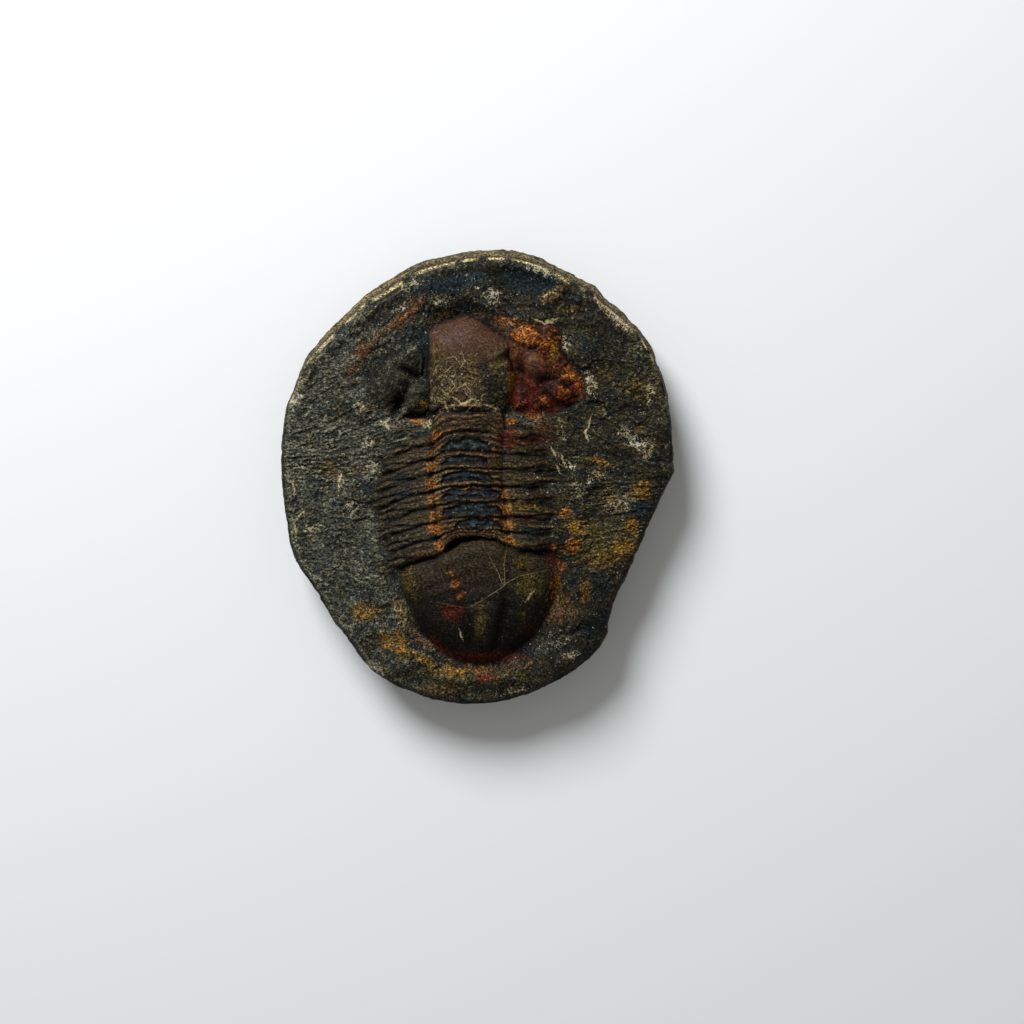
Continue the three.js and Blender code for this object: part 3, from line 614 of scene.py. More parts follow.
WHITE = [
    (492, 297, 10, 7, 20, 0.9), (478, 288, 4, 3, 0, 1), (564, 344, 6, 9, 30, 0.65),
    (590, 382, 6, 16, 20, 0.65), (551, 322, 12, 3, 0, 0.8), (571, 467, 6, 4, 0, 1),
    (634, 440, 19, 6, -35, 0.85), (302, 467, 9, 2, 0, 1), (360, 407, 6, 6, 0, 0.9),
    (296, 400, 9, 6, 40, 0.9), (376, 668, 12, 5, -35, 0.8), (460, 360, 14, 6, 0, 0.35),
    (468, 402, 30, 7, 5, 0.45), (456, 384, 20, 16, 0, 0.35), (495, 408, 14, 5, 0, 0.5),
    (370, 443, 7, 6, 0, 0.7), (372, 467, 6, 8, 0, 0.8), (580, 490, 12, 14, 0, 0.45),
    (620, 502, 18, 16, 0, 0.45), (565, 640, 12, 8, 20, 0.5), (550, 645, 30, 12, 25, 0.35),
    (508, 572, 8, 8, 0, 0.5), (402, 308, 7, 6, 0, 0.6), (440, 300, 18, 6, 0, 0.5),
    (506, 344, 6, 4, 0, 0.6), (386, 424, 6, 5, 0, 1), (322, 340, 5, 16, -45, 0.7),
    (410, 285, 14, 6, 30, 0.6), (540, 270, 20, 5, -20, 0.7), (614, 318, 20, 5, -45, 0.7),
    (650, 395, 6, 16, 0, 0.6), (596, 476, 14, 8, 20, 0.55), (648, 450, 8, 14, 0, 0.5),
    (428, 424, 5, 4, 0, 0.9), (340, 480, 3, 14, 0, 0.8), (350, 505, 5, 4, 0, 0.8),
    (518, 690, 12, 3, 20, 0.6), (312, 530, 10, 4, 0, 0.6), (570, 655, 12, 6, 20, 0.5),
    (560, 430, 8, 16, 0, 0.4),
]
# Pale gold marks, some of them painted highlights along raised edges such as the tail's left rim
PALE = [
    (552, 294, 16, 6, 30, 1), (366, 408, 12, 7, 0, 0.6), (412, 356, 12, 5, 20, 0.5),
    (330, 430, 40, 34, 0, 0.3), (401, 612, 8, 22, 25, 0.9), (424, 640, 18, 4, -45, 1),
    (570, 310, 22, 8, -10, 0.5), (548, 512, 8, 5, 0, 0.4), (570, 655, 10, 6, 20, 0.7),
    (640, 480, 16, 10, 0, 0.4),
]
# Mostly painted shadow and shade: hollows, the undersides of ledges, rings and the eye, the tail's far end
# and the lower right, with some dark spots
DARK = [
    (397, 402, 9, 9, 60, 1), (388, 386, 10, 14, 0, 0.5), (416, 414, 15, 4, 0, 1), (470, 411, 32, 3, 0, 1),
    (464, 634, 12, 14, 0, 0.95), (504, 620, 11, 30, 0, 0.95), (500, 590, 8, 12, 0, 0.6),
    (410, 370, 9, 6, -25, 1), (547, 389, 14, 6, -40, 0.9), (485, 648, 34, 7, 0, 0.7),
    (606, 368, 16, 4, -30, 0.6), (490, 386, 9, 14, 0, 0.6), (388, 348, 20, 5, 45, 0.6),
    (376, 372, 4, 18, -25, 0.7), (445, 638, 16, 9, -40, 0.8), (528, 638, 18, 10, 40, 0.8),
    (523, 390, 4, 9, 0, 0.9), (524, 281, 30, 10, -10, 0.5), (600, 340, 24, 12, 0, 0.4),
    (612, 450, 24, 8, -20, 0.5), (540, 540, 22, 4, -15, 0.8), (560, 470, 5, 26, 0, 0.7),
    (386, 520, 5, 30, 0, 0.5), (438, 410, 10, 5, 0, 0.5), (606, 606, 34, 56, -30, 0.44),
    (470, 690, 90, 12, 0, 0.44), (530, 448, 24, 3, 0, 0.8), (536, 434, 20, 2.5, 0, 0.8),
    (566, 408, 12, 6, 20, 0.6), (540, 404, 12, 4, -30, 0.6), (560, 348, 3, 8, 0, 0.6),
    (498, 640, 30, 8, 10, 0.5), (522, 372, 4, 12, 20, 0.6), (552, 378, 5, 12, 30, 0.6),
    (562, 402, 14, 4, 40, 0.7), (536, 414, 12, 3, 0, 0.6), (474, 424, 34, 2.2, 0, 0.8),
    (462, 432, 22, 2.2, 12, 0.8),
]

# The bright cracks of the tail and the thin threads of the crust, then the scratches elsewhere
CRACKS = [
    [
        (545, 571), (520, 576), (508, 582), (503, 587), (490, 595), (478, 603), (468, 608), (455, 606),
        (440, 603),
    ],
    [(505, 585), (504, 565), (507, 545)],
    [(502, 583), (497, 570), (488, 554)],
    [(440, 570), (444, 582)],
    [(448, 358), (454, 356), (458, 361)], [(462, 352), (465, 361), (461, 367)], [(452, 366), (446, 372)],
    [(450, 379), (455, 386), (450, 392)], [(458, 388), (465, 384), (470, 391)], [(443, 391), (450, 397)],
    [(466, 393), (473, 405), (469, 409)], [(480, 406), (479, 397), (485, 394)], [(488, 406), (497, 409)],
]
SCRATCHES = [
    [(533, 592), (527, 600)], [(460, 632), (462, 638)], [(590, 420), (589, 426), (585, 432), (587, 438)],
    [(552, 449), (555, 455)], [(562, 457), (564, 463)], [(557, 467), (559, 471)],
    [(303, 512), (294, 522), (296, 531)],
    [(455, 399), (462, 404), (473, 399), (478, 401)], [(445, 402), (447, 409)],
    [(536, 320), (545, 324), (556, 319)], [(293, 483), (294, 490)], [(341, 476), (339, 482)],
]
TAIL_CRACKS_MIDDLE = (508, 582)
CRUST_THREADS_MIDDLE = (464, 384)
LINE_REACH_PX = 5

# Single marks, as in the tables above
RIGHT_EYE_MARK = (534, 366, 12, 9, -45, 1)
CRUST_SHADOW = (496, 388, 12, 18, 0, 1)

# Where colours come in: from none to full, in pixels across or down
FADES = {
    # Darker right, top and bottom and paler at the upper left: the rock's own darker tone together with
    # painted shade
    "darker right": (500, 590),
    "darker top": (340, 290),
    "darker bottom": (590, 680),
    "paler left": (420, 370),
    "paler below the top": (300, 400),
    "olive right": (480, 560),
    "olive bottom": (640, 680),
    "grey front of tail": (595, 560),
    # Painted shade over the tail's middle and far end
    "shaded middle of tail": (560, 600),
    "shaded end of tail": (590, 650),
    "purple glabella": (366, 344),
    "crusted glabella": (344, 366),
    "left head": (432, 427),
    "right cheek": (504, 512),
    "redder cheek": (372, 384),
    "right flank": (500, 545),
    "front rings": (470, 440),
    "hind rings": (500, 520),
    # Painted shade over the lower right
    "lower right, across": (510, 580),
    "lower right, down": (530, 590),
}


# The mesh

FACE_CELLS = 272
RINGS_ABOVE = 6
TURNS_BELOW = (15, 30, 45, 60)
UNDER_TURN = 69
UNDER_CELLS = FACE_CELLS // 4


def disk_grid(cells):
    """A square grid laid over a disk: each point's radius, from 0 to 1, and its direction."""
    u, v = np.meshgrid(np.linspace(-1, 1, cells + 1), np.linspace(-1, 1, cells + 1))
    wide = np.abs(u) >= np.abs(v)
    by_column = math.pi / 4 * v / np.where(u == 0, 1, u) + math.pi * (u < 0)
    by_row = math.pi / 2 - math.pi / 4 * u / np.where(v == 0, 1, v) + math.pi * (v < 0)
    return np.maximum(np.abs(u), np.abs(v)), np.where(wide, by_column, by_row)


def grid_faces(cells, first, upward):
    row, column = np.mgrid[0:cells, 0:cells]
    corner = first + row * (cells + 1) + column
    steps = (0, 1, cells + 2, cells + 1) if upward else (0, cells + 1, cells + 2, 1)
    return np.stack([corner + step for step in steps], -1).reshape(-1, 4)


def grid_rim(cells, first):
    """The grid's outer points, anticlockwise from above."""
    line = np.arange(cells)
    side = cells + 1
    front, right = line, line * side + cells
    back, left = cells * side + cells - line, (cells - line) * side
    return first + np.concatenate([front, right, back, left])


def ring_faces(upper, lower):
    return np.stack([upper, lower, np.roll(lower, -1), np.roll(upper, -1)], -1)


def zip_faces(outer, inner):
    """Joins a ring to one with a quarter of its points."""
    first, second, third, fourth = outer.reshape(-1, 4).T
    after = np.roll(first, -1)
    here, there = inner, np.roll(inner, -1)
    corners = [(first, here, second), (second, here, third), (third, here, there)]
    corners += [(third, there, fourth), (fourth, there, after)]
    return np.concatenate([np.stack(triangle, -1) for triangle in corners])


def rock(x, y, z, size, seed):
    """Noise on a wall, which has no seam because height shifts it sideways."""
    return layers((x + 1.7 * z) / size, (y - 1.3 * z) / size, seed, 3)


def build_stone():
    """Every point of the closed stone, its faces, and the face's grid with its masks."""
    share, angle = disk_grid(FACE_CELLS)
    edge_radius = stone_radius(angle) - bevel_at(angle) + edge_chips(angle)
    x, y = share**1.2 * edge_radius * np.cos(angle), share**1.2 * edge_radius * np.sin(angle)
    z, marks = face(x, y)
    points = [np.stack([x, y, z], -1).reshape(-1, 3)]
    rim = grid_rim(FACE_CELLS, 0)
    faces = [grid_faces(FACE_CELLS, 0, True)]

    direction = angle.reshape(-1)[rim]
    edge_z = z.reshape(-1)[rim]
    widest = stone_radius(direction) + edge_chips(direction) * 0.6
    first = (FACE_CELLS + 1) ** 2
    upper = rim

    def add_ring(radius, height):
        """A ring of the wall's points, made a little uneven and joined to the ring above."""
        nonlocal first, upper
        ring_x, ring_y = radius * np.cos(direction), radius * np.sin(direction)
        bulge = 0.4 * rock(ring_x, ring_y, height, 6, 91) + 0.16 * rock(ring_x, ring_y, height, 1.5, 94)
        bulge = bulge + 0.18 * np.sin(2.4 * height + 2 * rock(ring_x, ring_y, 0 * height, 9, 97))
        ring_x, ring_y = ring_x + bulge * np.cos(direction), ring_y + bulge * np.sin(direction)
        points.append(np.stack([ring_x, ring_y, height], -1))
        lower = first + np.arange(len(direction))
        faces.append(ring_faces(upper, lower))
        first += len(direction)
        upper = lower

    for ring in range(1, RINGS_ABOVE + 1):
        left = 1 - ring / RINGS_ABOVE
        add_ring(widest - bevel_at(direction) * left**1.6, mix(WIDEST_Z, edge_z, left))
    for turn in np.radians(TURNS_BELOW):
        height = np.full(direction.shape, WIDEST_Z * (1 - math.sin(turn)))
        add_ring(widest - BASE_INSET * (1 - math.cos(turn)), height)

    share, angle = disk_grid(UNDER_CELLS)
    rim_inset = BASE_INSET * (1 - math.cos(math.radians(UNDER_TURN)))
    inset = stone_radius(angle) - share * (stone_radius(angle) - rim_inset)
    turn = np.arccos(np.clip(1 - inset / BASE_INSET, 0, 1))
    radius = stone_radius(angle) - inset
    x, y = radius * np.cos(angle), radius * np.sin(angle)
    pitted = 0.5 * np.maximum(0, layers(x / 5, y / 5, 101) + 0.2) * smooth(1, 0.85, share)
    z = WIDEST_Z * (1 - np.sin(turn)) + pitted
    points.append(np.stack([x, y, z], -1).reshape(-1, 3))
    faces.append(grid_faces(UNDER_CELLS, first, False))
    zipped = zip_faces(upper, grid_rim(UNDER_CELLS, first))
    return np.concatenate(points), np.concatenate(faces), zipped, marks


def blurred(grid, times):
    """Each value evened out with its neighbours, so many times over."""
    for _ in range(times):
        padded = np.pad(grid, 1, mode="edge")
        grid = (padded[:-2, 1:-1] + padded[2:, 1:-1] + padded[1:-1, :-2] + padded[1:-1, 2:] + 2 * grid) / 6
    return grid


# Painting each point of the mesh

DARKEST = 0.001
MASKS_OFF_THE_FACE = {"line_side": 99, "line_near": 0, "white": 0, "segment": 0, "strands": 0, "grain": 1}


def paint(tint, coats):
    """Lays coats of colour over a tint, each as thick as its mask says."""
    for name, mask in coats:
        tint = tint + (COLOURS[name] - tint) * np.clip(mask, 0, 1)[..., None]
    return tint


def fade(name, pixel):
    return smooth(*FADES[name], pixel)


def signed_lines(px, py, lines):
    """Pixels to the nearest line, positive on its one side and negative on the other."""
    best = np.full(px.shape, 99.0)
    sign = np.ones(px.shape)
    for line in lines:
        for (ax, ay), (bx, by) in zip(line, line[1:]):
            run_x, run_y = bx - ax, by - ay
            share = np.clip(((px - ax) * run_x + (py - ay) * run_y) / (run_x**2 + run_y**2), 0, 1)
            away = np.hypot(px - ax - share * run_x, py - ay - share * run_y)
            closer = away < best
            sign = np.where(closer, np.sign(run_x * (py - ay) - run_y * (px - ax)), sign)
            best = np.where(closer, away, best)
    return best, np.where(sign == 0, 1, sign) * best


def seen_at(x, y, z):
    """The pixel of the photograph that shows a place."""
    right, up, above = x - AIM[0], y - AIM[1], z - AIM[2]
    depth = CAMERA_DISTANCE - up * math.sin(CAMERA_LEAN) - above * math.cos(CAMERA_LEAN)
    scale = PIXELS_PER_MM * CAMERA_DISTANCE / depth
    rise = up * math.cos(CAMERA_LEAN) - above * math.sin(CAMERA_LEAN)
    return IMAGE_SIDE_PX / 2 + scale * right, IMAGE_SIDE_PX / 2 - scale * rise


def look_over(x, y, z, marks):
    """What the colours of the face depend on at each of its points."""
    px, py = seen_at(x, y, z)
    at = SimpleNamespace(x=x, y=y, px=px, py=py)
    at.stray_x = px + 5 * layers(x / 1.8, y / 1.8, 111)
    at.stray_y = py + 5 * layers(x / 1.8, y / 1.8, 115)
    at.grit = layers(x / 0.8, y / 0.55, 121, 3)
    at.speck = noise(x / 0.5, y / 0.4, 125)
    # fine and wide: how far each point stands above or sinks below its surroundings, used for painted
    # highlight on rises and painted shade in hollows
    at.fine = z - blurred(z, 5)
    at.wide = z - blurred(z, 70)
    # Darker towards the right, the top and the bottom and paler at the upper left: partly the rock's own
    # darker, greener tone, partly painted shade away from the lamp
    at.dim = fade("darker right", px) + 1.1 * fade("darker top", py)
    at.dim = at.dim + 0.8 * fade("darker bottom", py) + 0.7 * layers(x / 11, y / 8, 129)
    at.dim = at.dim - 0.3 * fade("paler left", px) * fade("paler below the top", py)
    at.tone = layers(x / 6, y / 4.5, 131) + 0.45 * at.grit
    at.cheek = marks["head"] * fade("right cheek", at.stray_x)
    at.eye = blobs(px, py, [RIGHT_EYE_MARK])
    at.thorax = (1 - marks["tail"]) * (1 - marks["head"])
    return at


def matrix_tint(at):
    """The rock around the animal: grey at the left, greener at the right and the ends, and darker there,
    partly as painted shade.
    """
    x, y, grit, dim = at.x, at.y, at.grit, at.dim
    olive = smooth(0, 0.6, layers(x / 4, y / 3, 137) + 0.5 * grit + 0.25)
    olive = olive * (0.32 * fade("olive right", at.px) + 0.2 * fade("olive bottom", at.py))
    dust = smooth(0.03, 0.16, at.fine + 0.06 * at.speck)
    tint = paint(np.broadcast_to(COLOURS["slate"], (*x.shape, 3)), [
        ("grey", smooth(0, 0.5, layers(x / 8, y / 5, 133) + 0.4 * grit - 0.4 * dim)),
        ("green black", 0.95 * smooth(-0.75, 0.75, at.tone + dim)),
        ("blue slate", 0.85 * smooth(0.05, 0.5, layers(x / 5, y / 3, 135) + 0.4 * grit)),
        ("tan", 0.45 * smooth(0.15, 0.7, layers(x / 3.4, y / 2.4, 139) + 0.4 * grit)),
        ("olive", olive),
        # Dust on raised grains, partly painted highlight; small hollows painted black as painted shade.
        ("dust", dust * np.clip(0.45 - 0.25 * dim, 0.08, 0.5)),
        ("black", 0.75 * smooth(-0.02, -0.14, at.fine)),
    ])
    # Painted shade: the rock darkened towards the right, the top and the bottom.
    return tint * (1 - 0.36 * np.clip(dim, 0, 1.4))[..., None]


def shell_tint(at, marks, matrix):
    """The animal: a grey tail painted to black towards its end as painted shade, a brown crust, a dark red
    cheek, banded rings and pale ribs.
    """
    x, y, grit, speck, fine = at.x, at.y, at.grit, at.speck, at.fine
    tail_part, head_part, light, patch = (marks[name] for name in ("tail", "head", "light", "patch"))
    crusted = head_part * fade("crusted glabella", at.stray_y + 14 * at.tone)
    tint = paint(np.broadcast_to(COLOURS["shell"], matrix.shape), [
        ("dark shell", smooth(-0.5, 0.6, layers(x / 4, y / 3, 141) + 0.3 * grit) * 0.75),
        ("grey shell", tail_part * fade("grey front of tail", at.stray_y) * 0.9),
        # Painted shade: the tail darkened towards its far end, away from the lamp.
        ("dark shell", tail_part * fade("shaded middle of tail", at.stray_y)),
        ("black", tail_part * (0.2 + 0.5 * fade("shaded end of tail", at.stray_y))),
        ("purple", head_part * fade("purple glabella", at.stray_y + 10 * at.tone) * 0.9),
        ("tan", crusted * 0.65 * smooth(-0.3, 0.6, layers(x / 3, y / 2, 143) + 0.6 * grit)),
        ("green black", crusted * 0.85 * blobs(at.stray_x, at.stray_y, [CRUST_SHADOW])),
        # On the crust, dust on its rises and black in its hollows: partly painted highlight and shade.
        ("dust", crusted * 0.4 * smooth(0.02, 0.12, fine + 0.05 * speck)),
        ("black", crusted * 0.6 * smooth(0.02, -0.1, fine + 0.04 * speck)),
    ])
    left_head = head_part * fade("left head", at.px) * 0.85
    tint = tint + (matrix - tint) * left_head[..., None]

    right_side = fade("right flank", at.px)
    rib = at.thorax * light * (1 - marks["on_axis"]) * (1 - 0.3 * right_side)
    ridge = at.thorax * light * marks["on_axis"] * (0.8 + grit)
    redder = noise(x / 7, y / 3.5, 145) + 0.3 * grit + 0.5 * fade("front rings", at.py)
    redder = redder + 0.5 * fade("hind rings", at.py)
    return paint(tint, [
        ("green black", left_head * (0.85 + 0.3 * grit)),
        ("dark red", at.cheek),
        ("red", at.cheek * fade("redder cheek", at.stray_y)),
        # On the cheek, rust and orange on its rises and black in its hollows: partly painted highlight and
        # shade.
        ("rust", at.cheek * 0.6 * smooth(0, 0.12, fine + 0.07 * speck)),
        ("orange", at.cheek * 0.35 * smooth(0.06, 0.2, fine + 0.1 * speck)),
        ("black", at.cheek * 0.8 * smooth(0, -0.12, fine + 0.06 * speck)),
        # Ribs and ring ridges paler on the light mark and darker off it: partly their own tone, partly
        # painted highlight and shade.
        ("rib", rib * (0.65 + 0.6 * grit)),
        ("dark shell", at.thorax * (1 - light) * (0.55 + 0.3 * right_side)),
        ("olive", at.thorax * right_side * (0.35 + 0.5 * grit) * light),
        ("ridge", ridge),
        ("red ridge", ridge * smooth(-0.2, 0.4, redder)),
        ("blue patch", patch * (1.1 + 0.2 * grit)),
        ("patch light", patch * smooth(-0.1, 0.5, layers(x / 1.8, y / 0.9, 147, 3)) * 0.8),
        ("pad", marks["pad"] * at.thorax * smooth(-0.3, 0.35, grit + 0.2)),
        # Painted shadow in the gaps and furrows of the thorax, and black in small hollows as painted shade.
        ("black", marks["dark"] + 0.7 * smooth(-0.03, -0.16, fine)),
    ])


def shader_masks(at, marks):
    """The masks that the material reads: distances from lines, white specks, strands and grain."""
    px, py = at.px, at.py
    crack_gap, crack_side = signed_lines(px, py, CRACKS)
    scratch_gap, scratch_side = signed_lines(px, py, SCRATCHES)
    on_scratch = scratch_gap < LINE_REACH_PX
    (tail_x, tail_y), (crust_x, crust_y) = TAIL_CRACKS_MIDDLE, CRUST_THREADS_MIDDLE
    crack_share = 0.15 + 0.5 * bell(np.hypot(px - tail_x, py - tail_y), 18)
    crack_share = crack_share + 0.6 * bell(np.hypot(px - crust_x, py - crust_y), 40)
    crack_near = crack_share * smooth(4, 2, crack_gap)
    smoother = marks["shell"] * (1 - marks["worn"]) * (1 - 0.2 * at.thorax - 0.6 * marks["tail"])
    smoother = smoother + 0.6 * at.cheek + 0.3 * at.eye
    strands = at.thorax * marks["segmented"] * marks["shell"] * (1 - marks["patch"]) * (1 - marks["pad"])
    patchy = smooth(-0.4, 0.2, layers(at.x / 5, at.y / 4, 175, 2))
    return {
        "line_side": np.where(on_scratch, scratch_side / 2.2, crack_side),
        "line_near": np.where(on_scratch, smooth(LINE_REACH_PX, 3, scratch_gap), crack_near),
        "white": blobs(at.stray_x, at.stray_y, WHITE) - 0.7 * at.cheek - 0.4 * marks["tail"],
        "segment": marks["segment"],
        "strands": strands * mix(patchy, 1, marks["on_axis"]),
        "grain": 1 - 0.75 * np.clip(smoother, 0, 1) + 0.3 * np.clip(at.dim, 0, 1) * (1 - marks["shell"]),
    }


def paint_face(x, y, z, marks):
    """The face's colours, and the masks that stay for the material."""
    at = look_over(x, y, z, marks)
    grit, speck, fine = at.grit, at.speck, at.fine

    def stain(places, loss=0.15):
        strength = blobs(at.stray_x, at.stray_y, places) * (1 + 0.6 * grit)
        return smooth(0.15, 0.7, strength - loss + 0.3 * grit)

    matrix = matrix_tint(at)
    tint = matrix + (shell_tint(at, marks, matrix) - matrix) * marks["shell"][..., None]
    # On the small rises the stains are laid thicker and the orange tops go gold: partly painted highlight.
    raised = smooth(-0.05, 0.1, fine + 0.06 * speck)
    tint = paint(tint, [
        ("olive", stain(OLIVE) * 0.6),
        ("teal", stain(BLUE) * 0.85),
        # Pale gold marks, partly painted highlight on edges.
        ("gold", stain(PALE, 0.25) * 0.5),
        ("rust", stain(RUST) * (0.45 + 0.45 * raised)),
        ("ochre", stain(OCHRE) * (0.45 + 0.5 * raised)),
        ("red", stain(RED) * 0.95),
        ("orange", stain(ORANGE) * (0.45 + 0.5 * smooth(-0.04, 0.1, fine + 0.05 * speck))),
        ("gold", stain(ORANGE, 0.4) * 0.6 * smooth(0.08, 0.2, fine + 0.08 * speck)),
        ("purple", at.eye * marks["head"]),
        # Painted shadow and shade: the dark marks, and black in small and broad hollows.
        ("black", stain(DARK) * 0.9),
        ("black", 0.5 * smooth(-0.12, -0.45, fine) + 0.3 * smooth(-0.3, -1.5, at.wide)),
    ])
    # Painted light and shade: small rises brightened and hollows darkened, and the lower right darkened as
    # painted shade; grit adds random tone.
    shaded_lower_right = fade("lower right, across", at.px) * fade("lower right, down", at.py)
    shade = (1 + 0.35 * grit + 0.8 * np.clip(fine, -0.3, 0.4)) * (1 - 0.3 * shaded_lower_right)
    return np.clip(tint * shade[..., None], DARKEST, 1), shader_masks(at, marks)


def paint_wall(points):
    """The weathered side and underside: a pale brown skin at the head end, darker elsewhere."""
    x, y, z = points.T
    coarse, fine = rock(x, y, z, 9, 151), rock(x, y, z, 1.4, 155)
    at_head_end = smooth(0.25, 0.7, y / np.maximum(1, np.hypot(x, y)) + 0.15 * coarse)
    at_head_end = at_head_end * smooth(-1, 6, z + 4 * coarse)
    band = np.sin(2.4 * z + 2 * coarse + fine)
    tint = paint(np.broadcast_to(COLOURS["shell"], points.shape), [
        ("slate", smooth(-0.3, 0.5, rock(x, y, z, 5, 159)) * 0.8),
        ("dark shell", smooth(0, 0.7, coarse) * 0.7),
        ("cortex", at_head_end * smooth(-0.8, 0.2, fine + 0.5 * coarse)),
        ("rust", smooth(0.2, 0.9, rock(x, y, z, 12, 163) + 0.3 * fine) * 0.45),
        ("gold", at_head_end * smooth(0.3, 0.9, band) * smooth(7, 11, z) * 0.6),
        ("green black", smooth(-0.2, -0.9, band) * smooth(4, 9, z) * 0.8),
    ])
    return np.clip(tint * (1 + 0.4 * fine)[:, None], DARKEST, 1)


def add_object(name, data):
    added = bpy.data.objects.new(name, data)
    bpy.context.scene.collection.objects.link(added)
    return added


def make_stone():
    points, quads, triangles, marks = build_stone()
    side = FACE_CELLS + 1
    top = side * side
    x, y, z = (points[:top, i].reshape(side, side) for i in range(3))
    tint, masks = paint_face(x, y, z, marks)
    at_head_end = smooth(0.2, 0.7, y / np.maximum(1, np.hypot(x, y)))
    lip = bell(marks["from_edge"] - 0.35 + 0.25 * noise(x / 6, y / 6, 171), 0.3)
    lip = lip * at_head_end * smooth(-0.4, 0.2, noise(x / 3, y / 3, 173)) * 0.7
    tints = np.ones((len(points), 4))
    tints[:, :3] = paint_wall(points)
    tints[:top, :3] = paint(tint, [("cream", lip)]).reshape(-1, 3)

    mesh = bpy.data.meshes.new(NODE + "_rock")
    mesh.from_pydata(points * MM, [], quads.tolist() + triangles.tolist())
    mesh.polygons.foreach_set("use_smooth", np.ones(len(mesh.polygons), bool))
    mesh.attributes.new("tint", "FLOAT_COLOR", "POINT").data.foreach_set("color", tints.ravel())
    for name, value in MASKS_OFF_THE_FACE.items():
        values = np.full(len(points), float(value))
        values[:top] = masks[name].ravel()
        mesh.attributes.new(name, "FLOAT", "POINT").data.foreach_set("value", values)
    return add_object("trilobite_rock", mesh)


# The rock's material

class Nodes:
    """Short calls for a material's nodes."""

    def __init__(self, material):
        material.use_nodes = True
        self.tree = material.node_tree
        self.tree.nodes.clear()

    def add(self, kind, inputs=(), **settings):
        node = self.tree.nodes.new(kind)
        for name, value in settings.items():
            setattr(node, name, value)
        for name, value in dict(inputs).items():
            if hasattr(value, "is_linked"):
                self.tree.links.new(value, node.inputs[name])
            else:
                node.inputs[name].default_value = value
        return node

    def attribute(self, name, output="Fac"):
        return self.add("ShaderNodeAttribute", attribute_name=name).outputs[output]

    def maths(self, operation, first, second=0.0):
        return self.add("ShaderNodeMath", {0: first, 1: second}, operation=operation).outputs[0]

    def ranged(self, value, start, end, low=0.0, high=1.0):
        inputs = {"Value": value, "From Min": start, "From Max": end, "To Min": low, "To Max": high}
        return self.add("ShaderNodeMapRange", inputs, interpolation_type="SMOOTHSTEP").outputs["Result"]

    def plus(self, first, second):
        return self.maths("ADD", first, second)

    def minus(self, first, second):
        return self.maths("SUBTRACT", first, second)

    def times(self, first, second):
        return self.maths("MULTIPLY", first, second)

    def noise(self, place, per_mm, detail=4.0, rough=0.6):
        inputs = {"Vector": place, "Scale": per_mm / MM, "Detail": detail, "Roughness": rough}
        return self.add("ShaderNodeTexNoise", inputs).outputs["Fac"]

    def mixed(self, share, first, second, blend="MIX"):
        node = self.tree.nodes.new("ShaderNodeMix")
        node.data_type = "RGBA"
        node.blend_type = blend
        for socket, value in ((node.inputs[0], share), (node.inputs[6], first), (node.inputs[7], second)):
            if hasattr(value, "is_linked"):
                self.tree.links.new(value, socket)
            else:
                socket.default_value = value
        return node.outputs[2]

    def over(self, tint, share, name):
        """Lays one of the named colours over a tint."""
        return self.mixed(share, tint, (*COLOURS[name], 1))

    def grey(self, value):
        return self.add("ShaderNodeCombineColor", {0: value, 1: value, 2: value}).outputs[0]

    def surface(self, inputs):
        shader = self.add("ShaderNodeBsdfPrincipled", inputs)
        self.add("ShaderNodeOutputMaterial", {"Surface": shader.outputs[0]})


STROKE_TURN = math.radians(24)
STRANDS_IN_A_SEGMENT = 2.6
BUMP_DISTANCE = 0.35


def grained(n, tint, strokes, grain, grit):
    """The fine light and dark grain of the rock."""
    crisp = n.noise(strokes, 2.8, 2.0)
    sharp = n.noise(strokes, 3.0, 4.0, 0.7)
    shade = n.grey(n.times(n.ranged(grit, 0.3, 0.72, 0.5, 1.5), n.ranged(crisp, 0.36, 0.64, 0.15, 1.85)))
    shade = n.mixed(n.ranged(grain, 0.15, 0.5, 0.4, 1.0), (1, 1, 1, 1), shade)
    tint = n.mixed(1.0, tint, shade, "MULTIPLY")
    tint = n.over(tint, n.times(n.ranged(sharp, 0.48, 0.33), 0.8), "black")
    lit = n.times(n.ranged(sharp, 0.52, 0.68), n.ranged(grain, 0.9, 1.3, 0.1, 1.7))
    tint = n.mixed(1.0, tint, n.grey(n.plus(lit, 1.0)), "MULTIPLY")
    return n.over(tint, n.times(n.ranged(sharp, 0.57, 0.74), n.ranged(grain, 0.2, 1, 0.08, 0.5)), "dust")


def flecked(n, tint, place, grain, dots):
    """White flecks and blotches, and thin cream threads between them."""
    white = n.attribute("white")
    sparse = n.times(n.minus(n.noise(place, 0.5, 3.0), 0.5), 0.3)
    flecks = n.plus(n.plus(dots, n.times(white, 0.165)), sparse)
    flecks = n.times(n.ranged(flecks, 0.72, 0.76), n.ranged(grain, 0.3, 0.9, 0.12, 0.9))
    tint = n.over(tint, flecks, "white")
    blotches = n.plus(n.noise(place, 1.0, 5.0, 0.75), n.times(white, 0.13))
    tint = n.over(tint, n.times(n.ranged(blotches, 0.63, 0.7), 0.75), "white")
    threads = n.maths("ABSOLUTE", n.minus(n.noise(place, 0.7, 3.0, 0.5), 0.5))
    threads = n.times(n.ranged(threads, 0.035, 0.012), n.ranged(white, 0.25, 0.6, 0.0, 0.75))
    return n.over(tint, threads, "cream")


